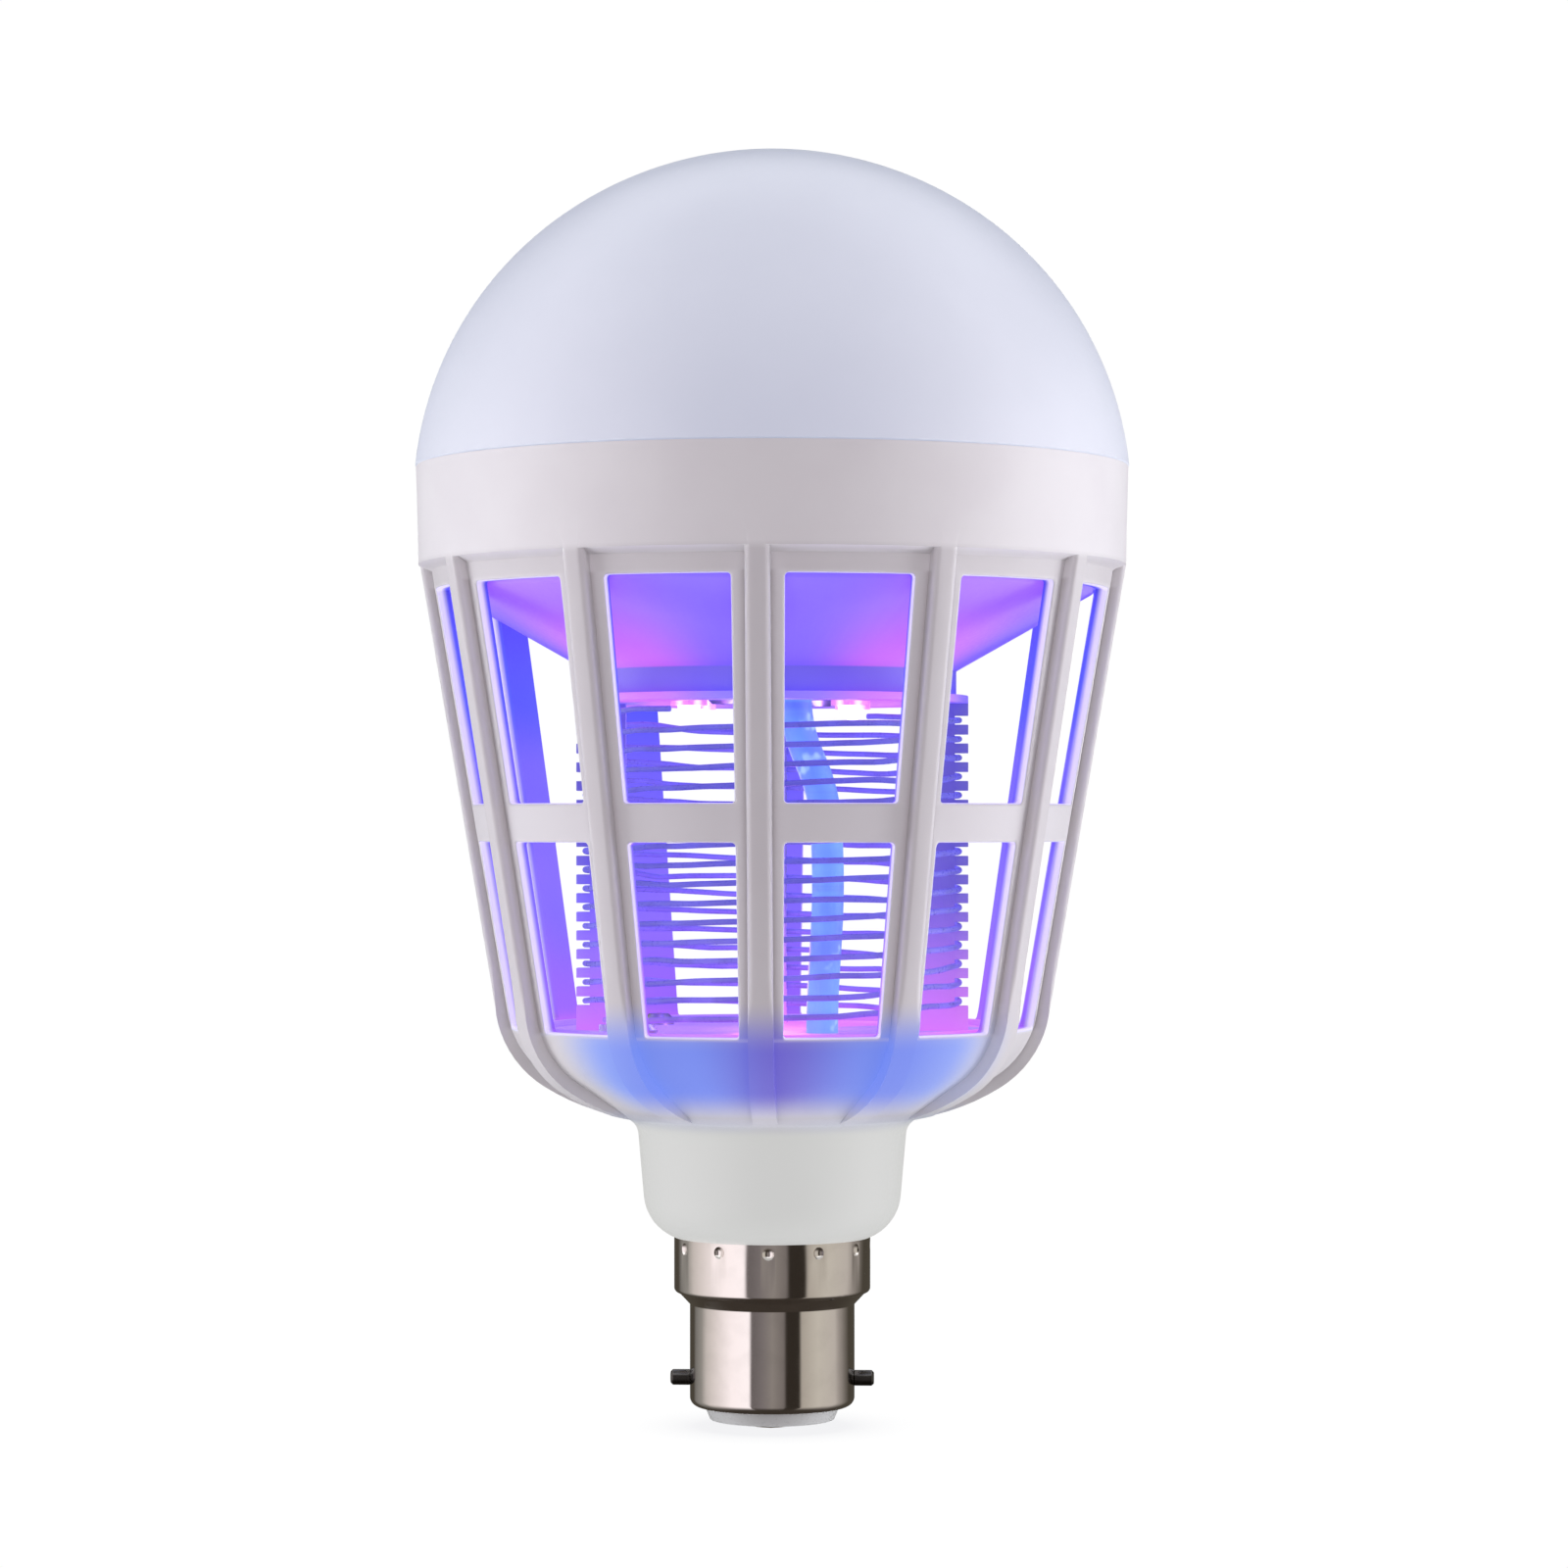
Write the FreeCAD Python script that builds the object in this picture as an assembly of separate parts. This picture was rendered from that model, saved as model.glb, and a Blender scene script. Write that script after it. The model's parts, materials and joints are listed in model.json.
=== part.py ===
import FreeCAD, Part
import math
import os

from FreeCAD import Vector

# An insect killer light bulb with a 22 mm bayonet cap. Sizes are in millimetres and angles in
# degrees. The axis of the bulb is Z, the contact end is at Z = 0 and the bayonet pins lie on X.
# A radius is measured from the axis, and a heading is the slope of a half section, where 0
# points away from the axis and 90 points up.

# Bayonet cap
CAP_RADIUS = 11.0
CAP_WALL = 0.6
CAP_BODY_HEIGHT = 13.6
CAP_SHOULDER_HEIGHT = 2.2
CAP_FLANGE_RADIUS = 13.1
CAP_FLANGE_HEIGHT = 6.8
CAP_RIM_RADIUS = 9.2
CAP_ROLL_RADIUS = 1.2
DIMPLE_COUNT = 12
DIMPLE_TOOL_RADIUS = 1.0
DIMPLE_DEPTH = 0.4
DIMPLE_DROP = 1.2

# Bayonet pins
PIN_SPAN = 27.2
PIN_RADIUS = 1.05
PIN_SHANK_RADIUS = 0.85
PIN_RISE = 3.7
PIN_CHAMFER = 0.3
PIN_HEAD_RADIUS = 1.4
PIN_HEAD_HEIGHT = 0.5

# Cap insulator and contacts
INSULATOR_HEIGHT = 3.2
INSULATOR_FOOT_RADIUS = 8.3
INSULATOR_FOOT_HEIGHT = 1.8
CONTACT_OFFSET = 4.6
CONTACT_RADIUS = 2.8
CONTACT_THICKNESS = 0.5
CONTACT_RIM = 0.25
CONTACT_STEM_RADIUS = 1.1
SOLDER_RADIUS = 1.3
SOLDER_HEIGHT = 0.35

# Outline of the housing
BODY_RADIUS = 47.5
NECK_RADIUS = 17.9
NECK_STRAIGHT = 8.4
NECK_START_HEADING = 21.0
NECK_HEADING = 85.0
NECK_FILLET = 2.4
BOWL_FLOOR_HEADING = 10.0
BOWL_SHOULDER_HEADING = 32.0
BOWL_CORNER_RADIUS = 14.0
CAGE_HEIGHT = 60.0
CAGE_TAPER = 9.7
COLLAR_HEIGHT = 13.0
COLLAR_TAPER = 1.5
NECK_WALL = 1.8
COLLAR_WALL = 2.5
SPIGOT_WALL = 1.4

# Ribs, pockets and windows
RIB_COUNT = 12
RIB_WIDTH = 3.2
RIB_DEPTH = 1.6
SKIN = 1.8
POCKET_BEVEL = 0.8
POCKET_RUNOUT_HEADING = 14.0
WINDOW_SILL_DROP = 1.4
WINDOW_HEAD_DROP = 3.3
LOWER_WINDOW_HEIGHT = 24.6
CROSS_BAR_HEIGHT = 5.0
MULLION_TOP = 7.6
MULLION_BOTTOM = 6.3
WINDOW_CORNER = 0.5
WINDOW_EDGE = 0.4

# Bosses and rails moulded inside the housing
BOSS_RADIUS = 2.7
BOSS_INSET = 5.6
BOSS_COUNT = 4
PILOT_DEPTH = 5.5
RAIL_WIDTH = 4.6
RAIL_REACH = 2.6
RAIL_HEIGHT = 10.0
RAIL_BASE = 3.4

# Zapping grid
BASE_EDGE = 6.3
BASE_DROP = 0.6
BASE_THICKNESS = 2.0
BASE_LIP = 0.8
RING_HEIGHT = 1.0
POST_COUNT = 4
POST_DEPTH = 6.6
POST_WIDTH = 2.0
TOOTH_REACH = 0.8
WIRE_RADIUS = 0.4
WIRE_PITCH = 5.0
WIRE_END_GAP = 1.4
WIRE_START_ANGLE = 30.0
WIRE_RUNS_PER_TURN = 24
SLOT_CLEARANCE = 0.2

# Reflector funnel and lamp that lures the insects
FUNNEL_WALL = 1.6
FUNNEL_RIM = 1.6
FUNNEL_SKIRT = 4.7
FUNNEL_ANGLE = 29.5
HUB_HEIGHT = 3.3
HUB_RECESS = 1.3
UV_BOARD_THICKNESS = 1.0
UV_LED_COUNT = 4
UV_LED_INSET = 10.1
UV_LED_SIDE = 3.4
UV_LED_BODY = 1.8
UV_LENS_RADIUS = 1.5

# White lamp
HEAT_SINK_WALL = 1.2
HEAT_SINK_BEND = 2.5
HEAT_SINK_DROP = 1.0
LED_BOARD_MARGIN = 6.5
LED_BOARD_THICKNESS = 1.6
LED_RINGS = ((8, 14.0), (16, 30.0))
LED_LENGTH = 3.5
LED_WIDTH = 2.8
LED_HEIGHT = 0.8
LED_SCREW_CIRCLE = 22.0
LED_SCREW_COUNT = 3
CENTRE_HOLE = 2.6

# Diffuser dome
DOME_WALL = 1.4
DOME_OVERHANG = 0.12
DOME_HEIGHT = 42.3
DOME_CROWN_ANGLE = 37.0
DOME_EDGE_LEAN = 5.69
DOME_SPIGOT_HEIGHT = 3.0

# Leads
SLEEVE_RADIUS = 2.1
LEAD_RADIUS = 0.6
LEAD_DROP = 2.8
LEAD_OVERLAP = 2.0
SLEEVE_TAIL = 0.8
SLEEVE_FOOT = (6.9, -7.5)
SLEEVE_BOW = (7.8, -7.8)
SLEEVE_LEAN = (7.3, -7.8)
SLEEVE_TOP = (3.4, -7.5)
SLEEVE_BOW_SHARE = 0.42
SLEEVE_LEAN_SHARE = 0.70

# Driver board and what is soldered to it
BOARD_EDGE_GAP = 1.9
BOARD_TAIL_HALF_WIDTH = 8.4
BOARD_THICKNESS = 1.6
BOARD_TOP_GAP = 3.4
BOARD_TAIL_LENGTH = 16.0
CAN_RADIUS = 4.5
CAN_LENGTH = 16.0
CAN_EDGE = 0.5
CAN_BEAD_DEPTH = 0.4
CAN_BEAD_START = 1.8
CAN_BEAD_WIDTH = 1.4
FILM_SIZE = (10.0, 5.0, 7.5)
DRUM_RADIUS = 4.0
DRUM_LENGTH = 7.0
DRUM_WINDING_GAP = 0.5
DRUM_LEG_OFFSET = 1.5
DRUM_FLANGE = 1.2
BRIDGE_SIZE = (4.7, 2.5, 4.0)
BRIDGE_LEG_PITCH = 2.5
CHIP_SIZE = (4.0, 1.5, 5.0)
CHIP_LEG_PITCH = 1.2
CHIP_SPACING = 5.0
CHIP_DROP = 7.0
FUSE_RADIUS = 1.7
FUSE_LENGTH = 7.0
FUSE_DROP = 5.5
DISC_RADIUS = 3.6
DISC_THICKNESS = 2.8
DISC_COUNT = 3
DISC_DROP = 2.6
DIODE_RADIUS = 1.3
DIODE_LENGTH = 4.6
DIODE_COUNT = 4
DIODE_RISE = 2.5
DIODE_PITCH = 3.4
DIODE_SPACING = 5.2
WIRE_LEG_RADIUS = 0.3
PART_FOOT_GAP = 0.3
CHIP_RESISTOR_SIZE = (2.0, 0.6, 1.25)
CHIP_RESISTOR_COUNT = 5
CHIP_RESISTOR_PITCH = 3.4
CHIP_RESISTOR_DROP = 2.0

# Screws
SCREW_RADIUS = 1.1
SCREW_HEAD_RADIUS = 2.1
SCREW_HEAD_HEIGHT = 1.5
SCREW_LENGTH = 4.6
LED_SCREW_LENGTH = 4.5
UV_SCREW_LENGTH = 2.2
UV_SCREW_CIRCLE = 9.0
UV_SCREW_COUNT = 2
UV_SCREW_ANGLE = 45.0

# Clearances
FIT = 0.15
LOOSE_FIT = 0.3
SCREW_FIT = 0.06
CLEAR_OUTSIDE = 8.0
ON_SURFACE = 0.01


def swing(before, after, radius):
    """The step from one end of an arc to the other, from the headings at its two ends."""
    a = math.radians(before)
    b = math.radians(after)
    side = 1 if after > before else -1
    across = radius * side * (math.sin(b) - math.sin(a))
    up = radius * side * (math.cos(a) - math.cos(b))
    return Vector(across, 0, up)


def tangent(degrees):
    return math.tan(math.radians(degrees))


def polar(radius, angle, height=0.0):
    """A point at a radius and an angle about the axis."""
    turn = math.radians(angle)
    return Vector(radius * math.cos(turn), radius * math.sin(turn), height)


def about_axis(shape, angle):
    """A copy of a shape, turned about the axis of the bulb."""
    copy = shape.copy()
    copy.rotate(Vector(0, 0, 0), Vector(0, 0, 1), angle)
    return copy


def pattern(shape, count, first=0.0):
    """Evenly spaced copies of a shape about the axis."""
    return [about_axis(shape, first + 360.0 * i / count) for i in range(count)]


def rod(radius, bottom, top, x=0.0, y=0.0):
    """An upright cylinder."""
    return Part.makeCylinder(radius, top - bottom, Vector(x, y, bottom))


def block(x, y, z):
    """A box from its low and high limits along each axis."""
    low = Vector(x[0], y[0], z[0])
    return Part.makeBox(x[1] - x[0], y[1] - y[0], z[1] - z[0], low)


class Outline:
    """A half section in the XZ plane, drawn with lines and arcs, that is turned into a solid."""

    def __init__(self, radius, height):
        self.start = Vector(radius, 0, height)
        self.end = self.start
        self.edges = []

    def to(self, radius, height):
        """Draw a line to a point."""
        goal = Vector(radius, 0, height)
        self.edges.append(Part.makeLine(self.end, goal))
        self.end = goal
        return self

    def turn(self, before, after, radius):
        """Draw an arc that leaves at one heading and arrives at another."""
        middle = self.end + swing(before, (before + after) / 2, radius)
        goal = self.end + swing(before, after, radius)
        self.edges.append(Part.Arc(self.end, middle, goal).toShape())
        self.end = goal
        return self

    def arc(self, through, goal):
        """Draw an arc through one point to another, each given as radius and height."""
        middle = Vector(through[0], 0, through[1])
        last = Vector(goal[0], 0, goal[1])
        self.edges.append(Part.Arc(self.end, middle, last).toShape())
        self.end = last
        return self

    def solid(self):
        """Close the section and revolve it about the axis."""
        edges = list(self.edges)
        if (self.end - self.start).Length > 1e-6:
            edges.append(Part.makeLine(self.end, self.start))
        face = Part.Face(Part.Wire(edges))
        return face.revolve(Vector(0, 0, 0), Vector(0, 0, 1), 360)


def lead_path(points):
    """Straight runs joined by tangent arcs that are as large as the runs allow."""
    edges = []
    last = points[0]
    for before, corner, after in zip(points, points[1:], points[2:]):
        into = corner - before
        out = after - corner
        shorter = min(into.Length, out.Length)
        reach = 0.45 * shorter
        first = corner - Vector(into).normalize() * reach
        second = corner + Vector(out).normalize() * reach
        half_turn = into.getAngle(out) / 2
        bend = reach / math.tan(half_turn)
        sag = bend / math.cos(half_turn) - bend
        inward = ((first + second) * 0.5 - corner).normalize()
        edges.append(Part.makeLine(last, first))
        edges.append(Part.Arc(first, corner + inward * sag, second).toShape())
        last = second
    edges.append(Part.makeLine(last, points[-1]))
    return Part.Wire(edges)


def lead(points, radius):
    """A round lead along a route."""
    path = lead_path(points)
    first = points[1] - points[0]
    section = Part.Wire(Part.makeCircle(radius, points[0], first))
    return path.makePipeShell([section], True, False)


def round_edges(shape):
    """The full circles among the edges of a turned shape."""
    return [edge for edge in shape.Edges if len(edge.Vertexes) == 1]


def screw(head_seat, length, x, y, down=True):
    """A pan head screw whose head rests at a height, with its shank down or up."""
    head = rod(SCREW_HEAD_RADIUS, 0, SCREW_HEAD_HEIGHT)
    rim = [edge for edge in round_edges(head) if edge.BoundBox.ZMin > SCREW_HEAD_HEIGHT / 2]
    head = head.makeChamfer(SCREW_HEAD_HEIGHT / 2, rim)
    slot = SCREW_RADIUS / 2
    cross = block((-2 * slot, 2 * slot), (-slot / 2, slot / 2), (SCREW_HEAD_HEIGHT / 2, 2 * SCREW_HEAD_HEIGHT))
    head = head.cut([cross, about_axis(cross, 90)])
    shape = head.fuse(rod(SCREW_RADIUS, -length, SCREW_HEAD_HEIGHT / 4))
    if not down:
        shape.rotate(Vector(0, 0, 0), Vector(1, 0, 0), 180)
    shape.translate(Vector(x, y, head_seat))
    return shape.removeSplitter()


# Heights of the cap
z_plate = SOLDER_HEIGHT + CONTACT_THICKNESS
z_rim = z_plate - CONTACT_RIM + INSULATOR_FOOT_HEIGHT
z_pin = z_rim + PIN_RISE
z_shoulder = z_rim + CAP_BODY_HEIGHT
z_flange = z_shoulder + CAP_SHOULDER_HEIGHT
z_neck = z_flange + CAP_FLANGE_HEIGHT

# Radii and heights along the outside of the housing
r_collar = BODY_RADIUS - COLLAR_HEIGHT * tangent(COLLAR_TAPER)
r_cage = r_collar - CAGE_HEIGHT * tangent(CAGE_TAPER)
cage_heading = 90.0 - CAGE_TAPER
neck_lean = NECK_STRAIGHT / tangent(NECK_HEADING)
neck_turn = swing(NECK_START_HEADING, NECK_HEADING, 1.0)
neck_corner = (NECK_RADIUS - neck_lean - CAP_FLANGE_RADIUS) / neck_turn.x
z_neck_straight = z_neck + neck_corner * neck_turn.z
z_fillet = z_neck_straight + NECK_STRAIGHT
bowl_start = Vector(NECK_RADIUS, 0, z_fillet) + swing(NECK_HEADING, BOWL_FLOOR_HEADING, NECK_FILLET)
corner_step = swing(BOWL_SHOULDER_HEADING, cage_heading, BOWL_CORNER_RADIUS)
bowl_turn = swing(BOWL_FLOOR_HEADING, BOWL_SHOULDER_HEADING, 1.0)
bowl_radius = (r_cage - corner_step.x - bowl_start.x) / bowl_turn.x
z_cage = bowl_start.z + bowl_radius * bowl_turn.z + corner_step.z
z_collar = z_cage + CAGE_HEIGHT
z_seam = z_collar + COLLAR_HEIGHT
bay_angle = 360.0 / RIB_COUNT


def cage_radius(height, inset):
    """Radius of the tapered wall at a height, a given depth under the face of the ribs."""
    lean = (z_collar - height) * tangent(CAGE_TAPER)
    return r_collar - lean - inset / math.cos(math.radians(CAGE_TAPER))


def bowl_corner(heading, inset):
    """A point on the rounded foot of the cage, a given depth under the face of the ribs."""
    square = math.radians(cage_heading)
    centre = Vector(r_cage, 0, z_cage) + Vector(-math.sin(square), 0, math.cos(square)) * BOWL_CORNER_RADIUS
    slope = math.radians(heading)
    return centre + Vector(math.sin(slope), 0, -math.cos(slope)) * (BOWL_CORNER_RADIUS - inset)


def bowl_radius_at(height, inset):
    """Radius of the rounded foot of the cage at a height."""
    centre = bowl_corner(0, BOWL_CORNER_RADIUS)
    reach = BOWL_CORNER_RADIUS - inset
    return centre.x + math.sqrt(reach ** 2 - (centre.z - height) ** 2)


# Heights and radii of what sits inside the cage
wall_depth = RIB_DEPTH + SKIN
z_sill = z_cage - WINDOW_SILL_DROP
z_head = z_collar - WINDOW_HEAD_DROP
z_base_top = z_sill - BASE_DROP
z_base = z_base_top - BASE_THICKNESS
base_radius = bowl_radius_at(z_base, wall_depth) - LOOSE_FIT
grid_radius = base_radius - BASE_EDGE
z_ledge = z_collar + SKIN / 2
r_collar_bore = r_collar - COLLAR_WALL
r_ledge = cage_radius(z_ledge, wall_depth)
funnel_foot_z = z_ledge - FUNNEL_SKIRT
funnel_foot_r = cage_radius(funnel_foot_z, wall_depth) - LOOSE_FIT
hub_radius = grid_radius - WIRE_RADIUS
z_hub_top = funnel_foot_z - (funnel_foot_r - hub_radius) * tangent(FUNNEL_ANGLE)
z_hub = z_hub_top - HUB_HEIGHT
z_hub_plate = z_hub + HUB_RECESS
z_uv_board = z_hub_plate - UV_BOARD_THICKNESS
z_funnel_rim = z_ledge + FUNNEL_RIM
z_sink_top = z_seam - HEAT_SINK_DROP
z_led_board = z_sink_top + LED_BOARD_THICKNESS
sink_radius = r_collar_bore - LOOSE_FIT
led_board_radius = sink_radius - LED_BOARD_MARGIN
boss_circle = base_radius - BOSS_INSET - BOSS_RADIUS
uv_ring = grid_radius - UV_LED_INSET
post_outer = grid_radius + TOOTH_REACH + WIRE_RADIUS
post_inner = post_outer - POST_DEPTH
z_post_foot = z_base_top - BASE_THICKNESS / 2
z_ring = z_hub - RING_HEIGHT
z_post_top = z_hub - RING_HEIGHT / 2
z_wire_start = z_base_top + WIRE_END_GAP + WIRE_RADIUS
z_wire_end = z_ring - WIRE_END_GAP
neck_bore = NECK_RADIUS - NECK_WALL
board_half_width = neck_bore - BOARD_EDGE_GAP
z_neck_floor = z_neck + NECK_WALL
spigot_radius = CAP_FLANGE_RADIUS - CAP_WALL - FIT
spigot_bore = spigot_radius - SPIGOT_WALL
z_spigot = z_flange + FIT + CAP_WALL
z_board_step = z_neck_floor + RAIL_BASE + FIT
z_board_top = z_base - BOARD_TOP_GAP
z_board_tail = z_board_step - BOARD_TAIL_LENGTH
z_drum_top = z_board_step - DRUM_FLANGE + DRUM_LENGTH


def cap_shell():
    """Drawn metal shell with a rolled rim, a shoulder and a crimped flange."""
    inner = CAP_RADIUS - CAP_WALL
    flange_bore = CAP_FLANGE_RADIUS - CAP_WALL
    outline = Outline(CAP_RIM_RADIUS, z_rim)
    outline.to(CAP_RADIUS - CAP_ROLL_RADIUS, z_rim)
    outline.turn(0, 90, CAP_ROLL_RADIUS)
    outline.to(CAP_RADIUS, z_shoulder)
    outline.to(CAP_FLANGE_RADIUS - CAP_WALL, z_flange - CAP_WALL)
    outline.turn(0, 90, CAP_WALL)
    outline.to(CAP_FLANGE_RADIUS, z_neck)
    outline.to(flange_bore, z_neck)
    outline.to(flange_bore, z_flange + CAP_WALL)
    outline.to(inner, z_shoulder + CAP_WALL)
    outline.to(inner, z_rim + CAP_ROLL_RADIUS)
    outline.turn(-90, -180, CAP_ROLL_RADIUS - CAP_WALL)
    outline.to(CAP_RIM_RADIUS, z_rim + CAP_WALL)
    shell = outline.solid()
    dent_centre = CAP_FLANGE_RADIUS + DIMPLE_TOOL_RADIUS - DIMPLE_DEPTH
    dent = Part.makeSphere(DIMPLE_TOOL_RADIUS, Vector(dent_centre, 0, z_neck - DIMPLE_DROP))
    hole = Part.makeCylinder(PIN_SHANK_RADIUS + SCREW_FIT, CAP_RADIUS, Vector(0, 0, z_pin), Vector(1, 0, 0))
    return shell.cut(pattern(dent, DIMPLE_COUNT) + pattern(hole, 2))


def bayonet_pins():
    """Two riveted pins. Each has a head inside the shell and a stout end outside it."""
    inside = CAP_RADIUS - CAP_WALL
    pin = Part.makeCylinder(PIN_RADIUS, PIN_SPAN / 2 - CAP_RADIUS, Vector(CAP_RADIUS, 0, 0), Vector(1, 0, 0))
    tip = [edge for edge in pin.Edges if edge.BoundBox.XMin > PIN_SPAN / 2 - PIN_CHAMFER]
    pin = pin.makeChamfer(PIN_CHAMFER, tip)
    head_start = inside - PIN_HEAD_HEIGHT - FIT
    shank = Part.makeCylinder(PIN_SHANK_RADIUS, CAP_RADIUS - head_start, Vector(head_start, 0, 0), Vector(1, 0, 0))
    head = Part.makeCylinder(PIN_HEAD_RADIUS, PIN_HEAD_HEIGHT, Vector(head_start, 0, 0), Vector(1, 0, 0))
    pin = pin.fuse([shank, head])
    pin.translate(Vector(0, 0, z_pin))
    return Part.makeCompound(pattern(pin, 2))


def cap_insulator():
    """Moulded button that closes the end of the cap and carries the contacts."""
    seat = z_rim + CAP_WALL
    body = CAP_RADIUS - CAP_WALL - LOOSE_FIT
    foot = CAP_RIM_RADIUS - FIT
    step = CAP_ROLL_RADIUS - CAP_WALL
    outline = Outline(0, z_rim - INSULATOR_FOOT_HEIGHT)
    outline.to(INSULATOR_FOOT_RADIUS, z_rim - INSULATOR_FOOT_HEIGHT)
    outline.to(foot, z_rim)
    outline.to(foot, seat)
    outline.to(body - step, seat)
    outline.turn(0, 90, step)
    outline.to(body, seat + INSULATOR_HEIGHT)
    outline.to(0, seat + INSULATOR_HEIGHT)
    holes = []
    for y in (-CONTACT_OFFSET, CONTACT_OFFSET):
        holes.append(rod(CONTACT_STEM_RADIUS + SCREW_FIT, 0, z_neck, 0, y))
        holes.append(rod(CONTACT_RADIUS + SCREW_FIT, 0, z_plate, 0, y))
    clear_of_pins = PIN_HEAD_RADIUS + LOOSE_FIT
    relief = block(
        (CAP_RADIUS - CAP_WALL - PIN_HEAD_HEIGHT - 2 * LOOSE_FIT, CAP_RADIUS),
        (-clear_of_pins, clear_of_pins),
        (z_pin - clear_of_pins, z_neck),
    )
    return outline.solid().cut(holes + pattern(relief, 2))


def contact_plates():
    """Two round contact plates with hollow stems through the insulator."""
    plate_bottom = z_plate - CONTACT_THICKNESS
    stem_top = z_rim + CAP_WALL + INSULATOR_HEIGHT + LOOSE_FIT
    plate = Outline(0, plate_bottom)
    plate.to(CONTACT_RADIUS - CONTACT_RIM, plate_bottom)
    plate.turn(0, 90, CONTACT_RIM)
    plate.to(CONTACT_RADIUS, z_plate)
    plate.to(CONTACT_STEM_RADIUS, z_plate)
    plate.to(CONTACT_STEM_RADIUS, stem_top)
    plate.to(0, stem_top)
    plates = []
    for y in (-CONTACT_OFFSET, CONTACT_OFFSET):
        shape = plate.solid()
        shape.translate(Vector(0, y, 0))
        plates.append(shape)
    return Part.makeCompound(plates)


def contact_solder():
    """A low dome of solder in the middle of each contact plate."""
    top = z_plate - CONTACT_THICKNESS
    sphere_radius = (SOLDER_RADIUS ** 2 + SOLDER_HEIGHT ** 2) / (2 * SOLDER_HEIGHT)
    domes = []
    for y in (-CONTACT_OFFSET, CONTACT_OFFSET):
        ball = Part.makeSphere(sphere_radius, Vector(0, y, top - SOLDER_HEIGHT + sphere_radius))
        domes.append(ball.common(rod(sphere_radius, top - SOLDER_HEIGHT, top, 0, y)))
    return Part.makeCompound(domes)


def housing_blank():
    """The outside of the housing, with the ribs' faces still a smooth skin."""
    spigot_top = z_seam + DOME_SPIGOT_HEIGHT
    outline = Outline(0, z_spigot)
    outline.to(spigot_radius, z_spigot)
    outline.to(spigot_radius, z_neck)
    outline.to(CAP_FLANGE_RADIUS, z_neck)
    outline.turn(NECK_START_HEADING, NECK_HEADING, neck_corner)
    outline.to(NECK_RADIUS, z_fillet)
    outline.turn(NECK_HEADING, BOWL_FLOOR_HEADING, NECK_FILLET)
    outline.turn(BOWL_FLOOR_HEADING, BOWL_SHOULDER_HEADING, bowl_radius)
    outline.turn(BOWL_SHOULDER_HEADING, cage_heading, BOWL_CORNER_RADIUS)
    outline.to(r_collar, z_collar)
    outline.to(BODY_RADIUS, z_seam)
    outline.to(dome_rebate() - FIT, z_seam)
    outline.to(dome_rebate() - FIT, spigot_top)
    outline.to(0, spigot_top)
    return outline.solid()


def dome_rebate():
    """Radius of the step inside the edge of the dome that slips over the collar's spigot."""
    return dome_edge_radius() - DOME_WALL


def dome_edge_radius():
    return BODY_RADIUS + DOME_OVERHANG


def housing_core():
    """The hollow of the housing, less the bosses and rails that stand in it."""
    runout = pocket_runout()
    shoulder = bowl_corner(BOWL_SHOULDER_HEADING, RIB_DEPTH)
    ramp = shoulder - runout
    ramp_slope = ramp.z / ramp.x
    inner_shoulder = bowl_corner(BOWL_SHOULDER_HEADING, wall_depth)
    wall_foot = inner_shoulder.z - (inner_shoulder.x - neck_bore) * ramp_slope
    outline = Outline(0, z_spigot)
    outline.to(spigot_bore, z_spigot)
    outline.to(spigot_bore, z_neck_floor)
    outline.to(CAP_FLANGE_RADIUS - CAP_WALL, z_neck_floor)
    outline.to(neck_bore - neck_lean, z_neck_floor + neck_corner / 2)
    outline.to(neck_bore, wall_foot)
    outline.to(inner_shoulder.x, inner_shoulder.z)
    outline.turn(BOWL_SHOULDER_HEADING, cage_heading, BOWL_CORNER_RADIUS - wall_depth)
    outline.to(r_ledge, z_ledge)
    outline.to(r_collar_bore, z_ledge)
    outline.to(r_collar_bore, z_seam + DOME_SPIGOT_HEIGHT)
    outline.to(0, z_seam + DOME_SPIGOT_HEIGHT)
    core = outline.solid()
    boss = rod(BOSS_RADIUS, z_neck, z_base, boss_circle)
    pilot = rod(SCREW_RADIUS + SCREW_FIT, z_base - PILOT_DEPTH, z_base, boss_circle)
    bosses = pattern(boss.cut(pilot), BOSS_COUNT, 180.0 / BOSS_COUNT)
    rail = block(
        (neck_bore - RAIL_REACH - FIT, BODY_RADIUS),
        (-RAIL_WIDTH / 2, RAIL_WIDTH / 2),
        (z_neck_floor, z_board_step + RAIL_HEIGHT),
    )
    groove_half = BOARD_THICKNESS / 2 + FIT
    groove = block((0, board_half_width + FIT), (-groove_half, groove_half), (z_board_step, z_seam))
    return core.cut(bosses + pattern(rail.cut(groove), 2))


def pocket_runout():
    """The point under the bowl where the floor of a pocket comes out to the face of the ribs."""
    return bowl_start + swing(BOWL_FLOOR_HEADING, POCKET_RUNOUT_HEADING, bowl_radius)


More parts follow.
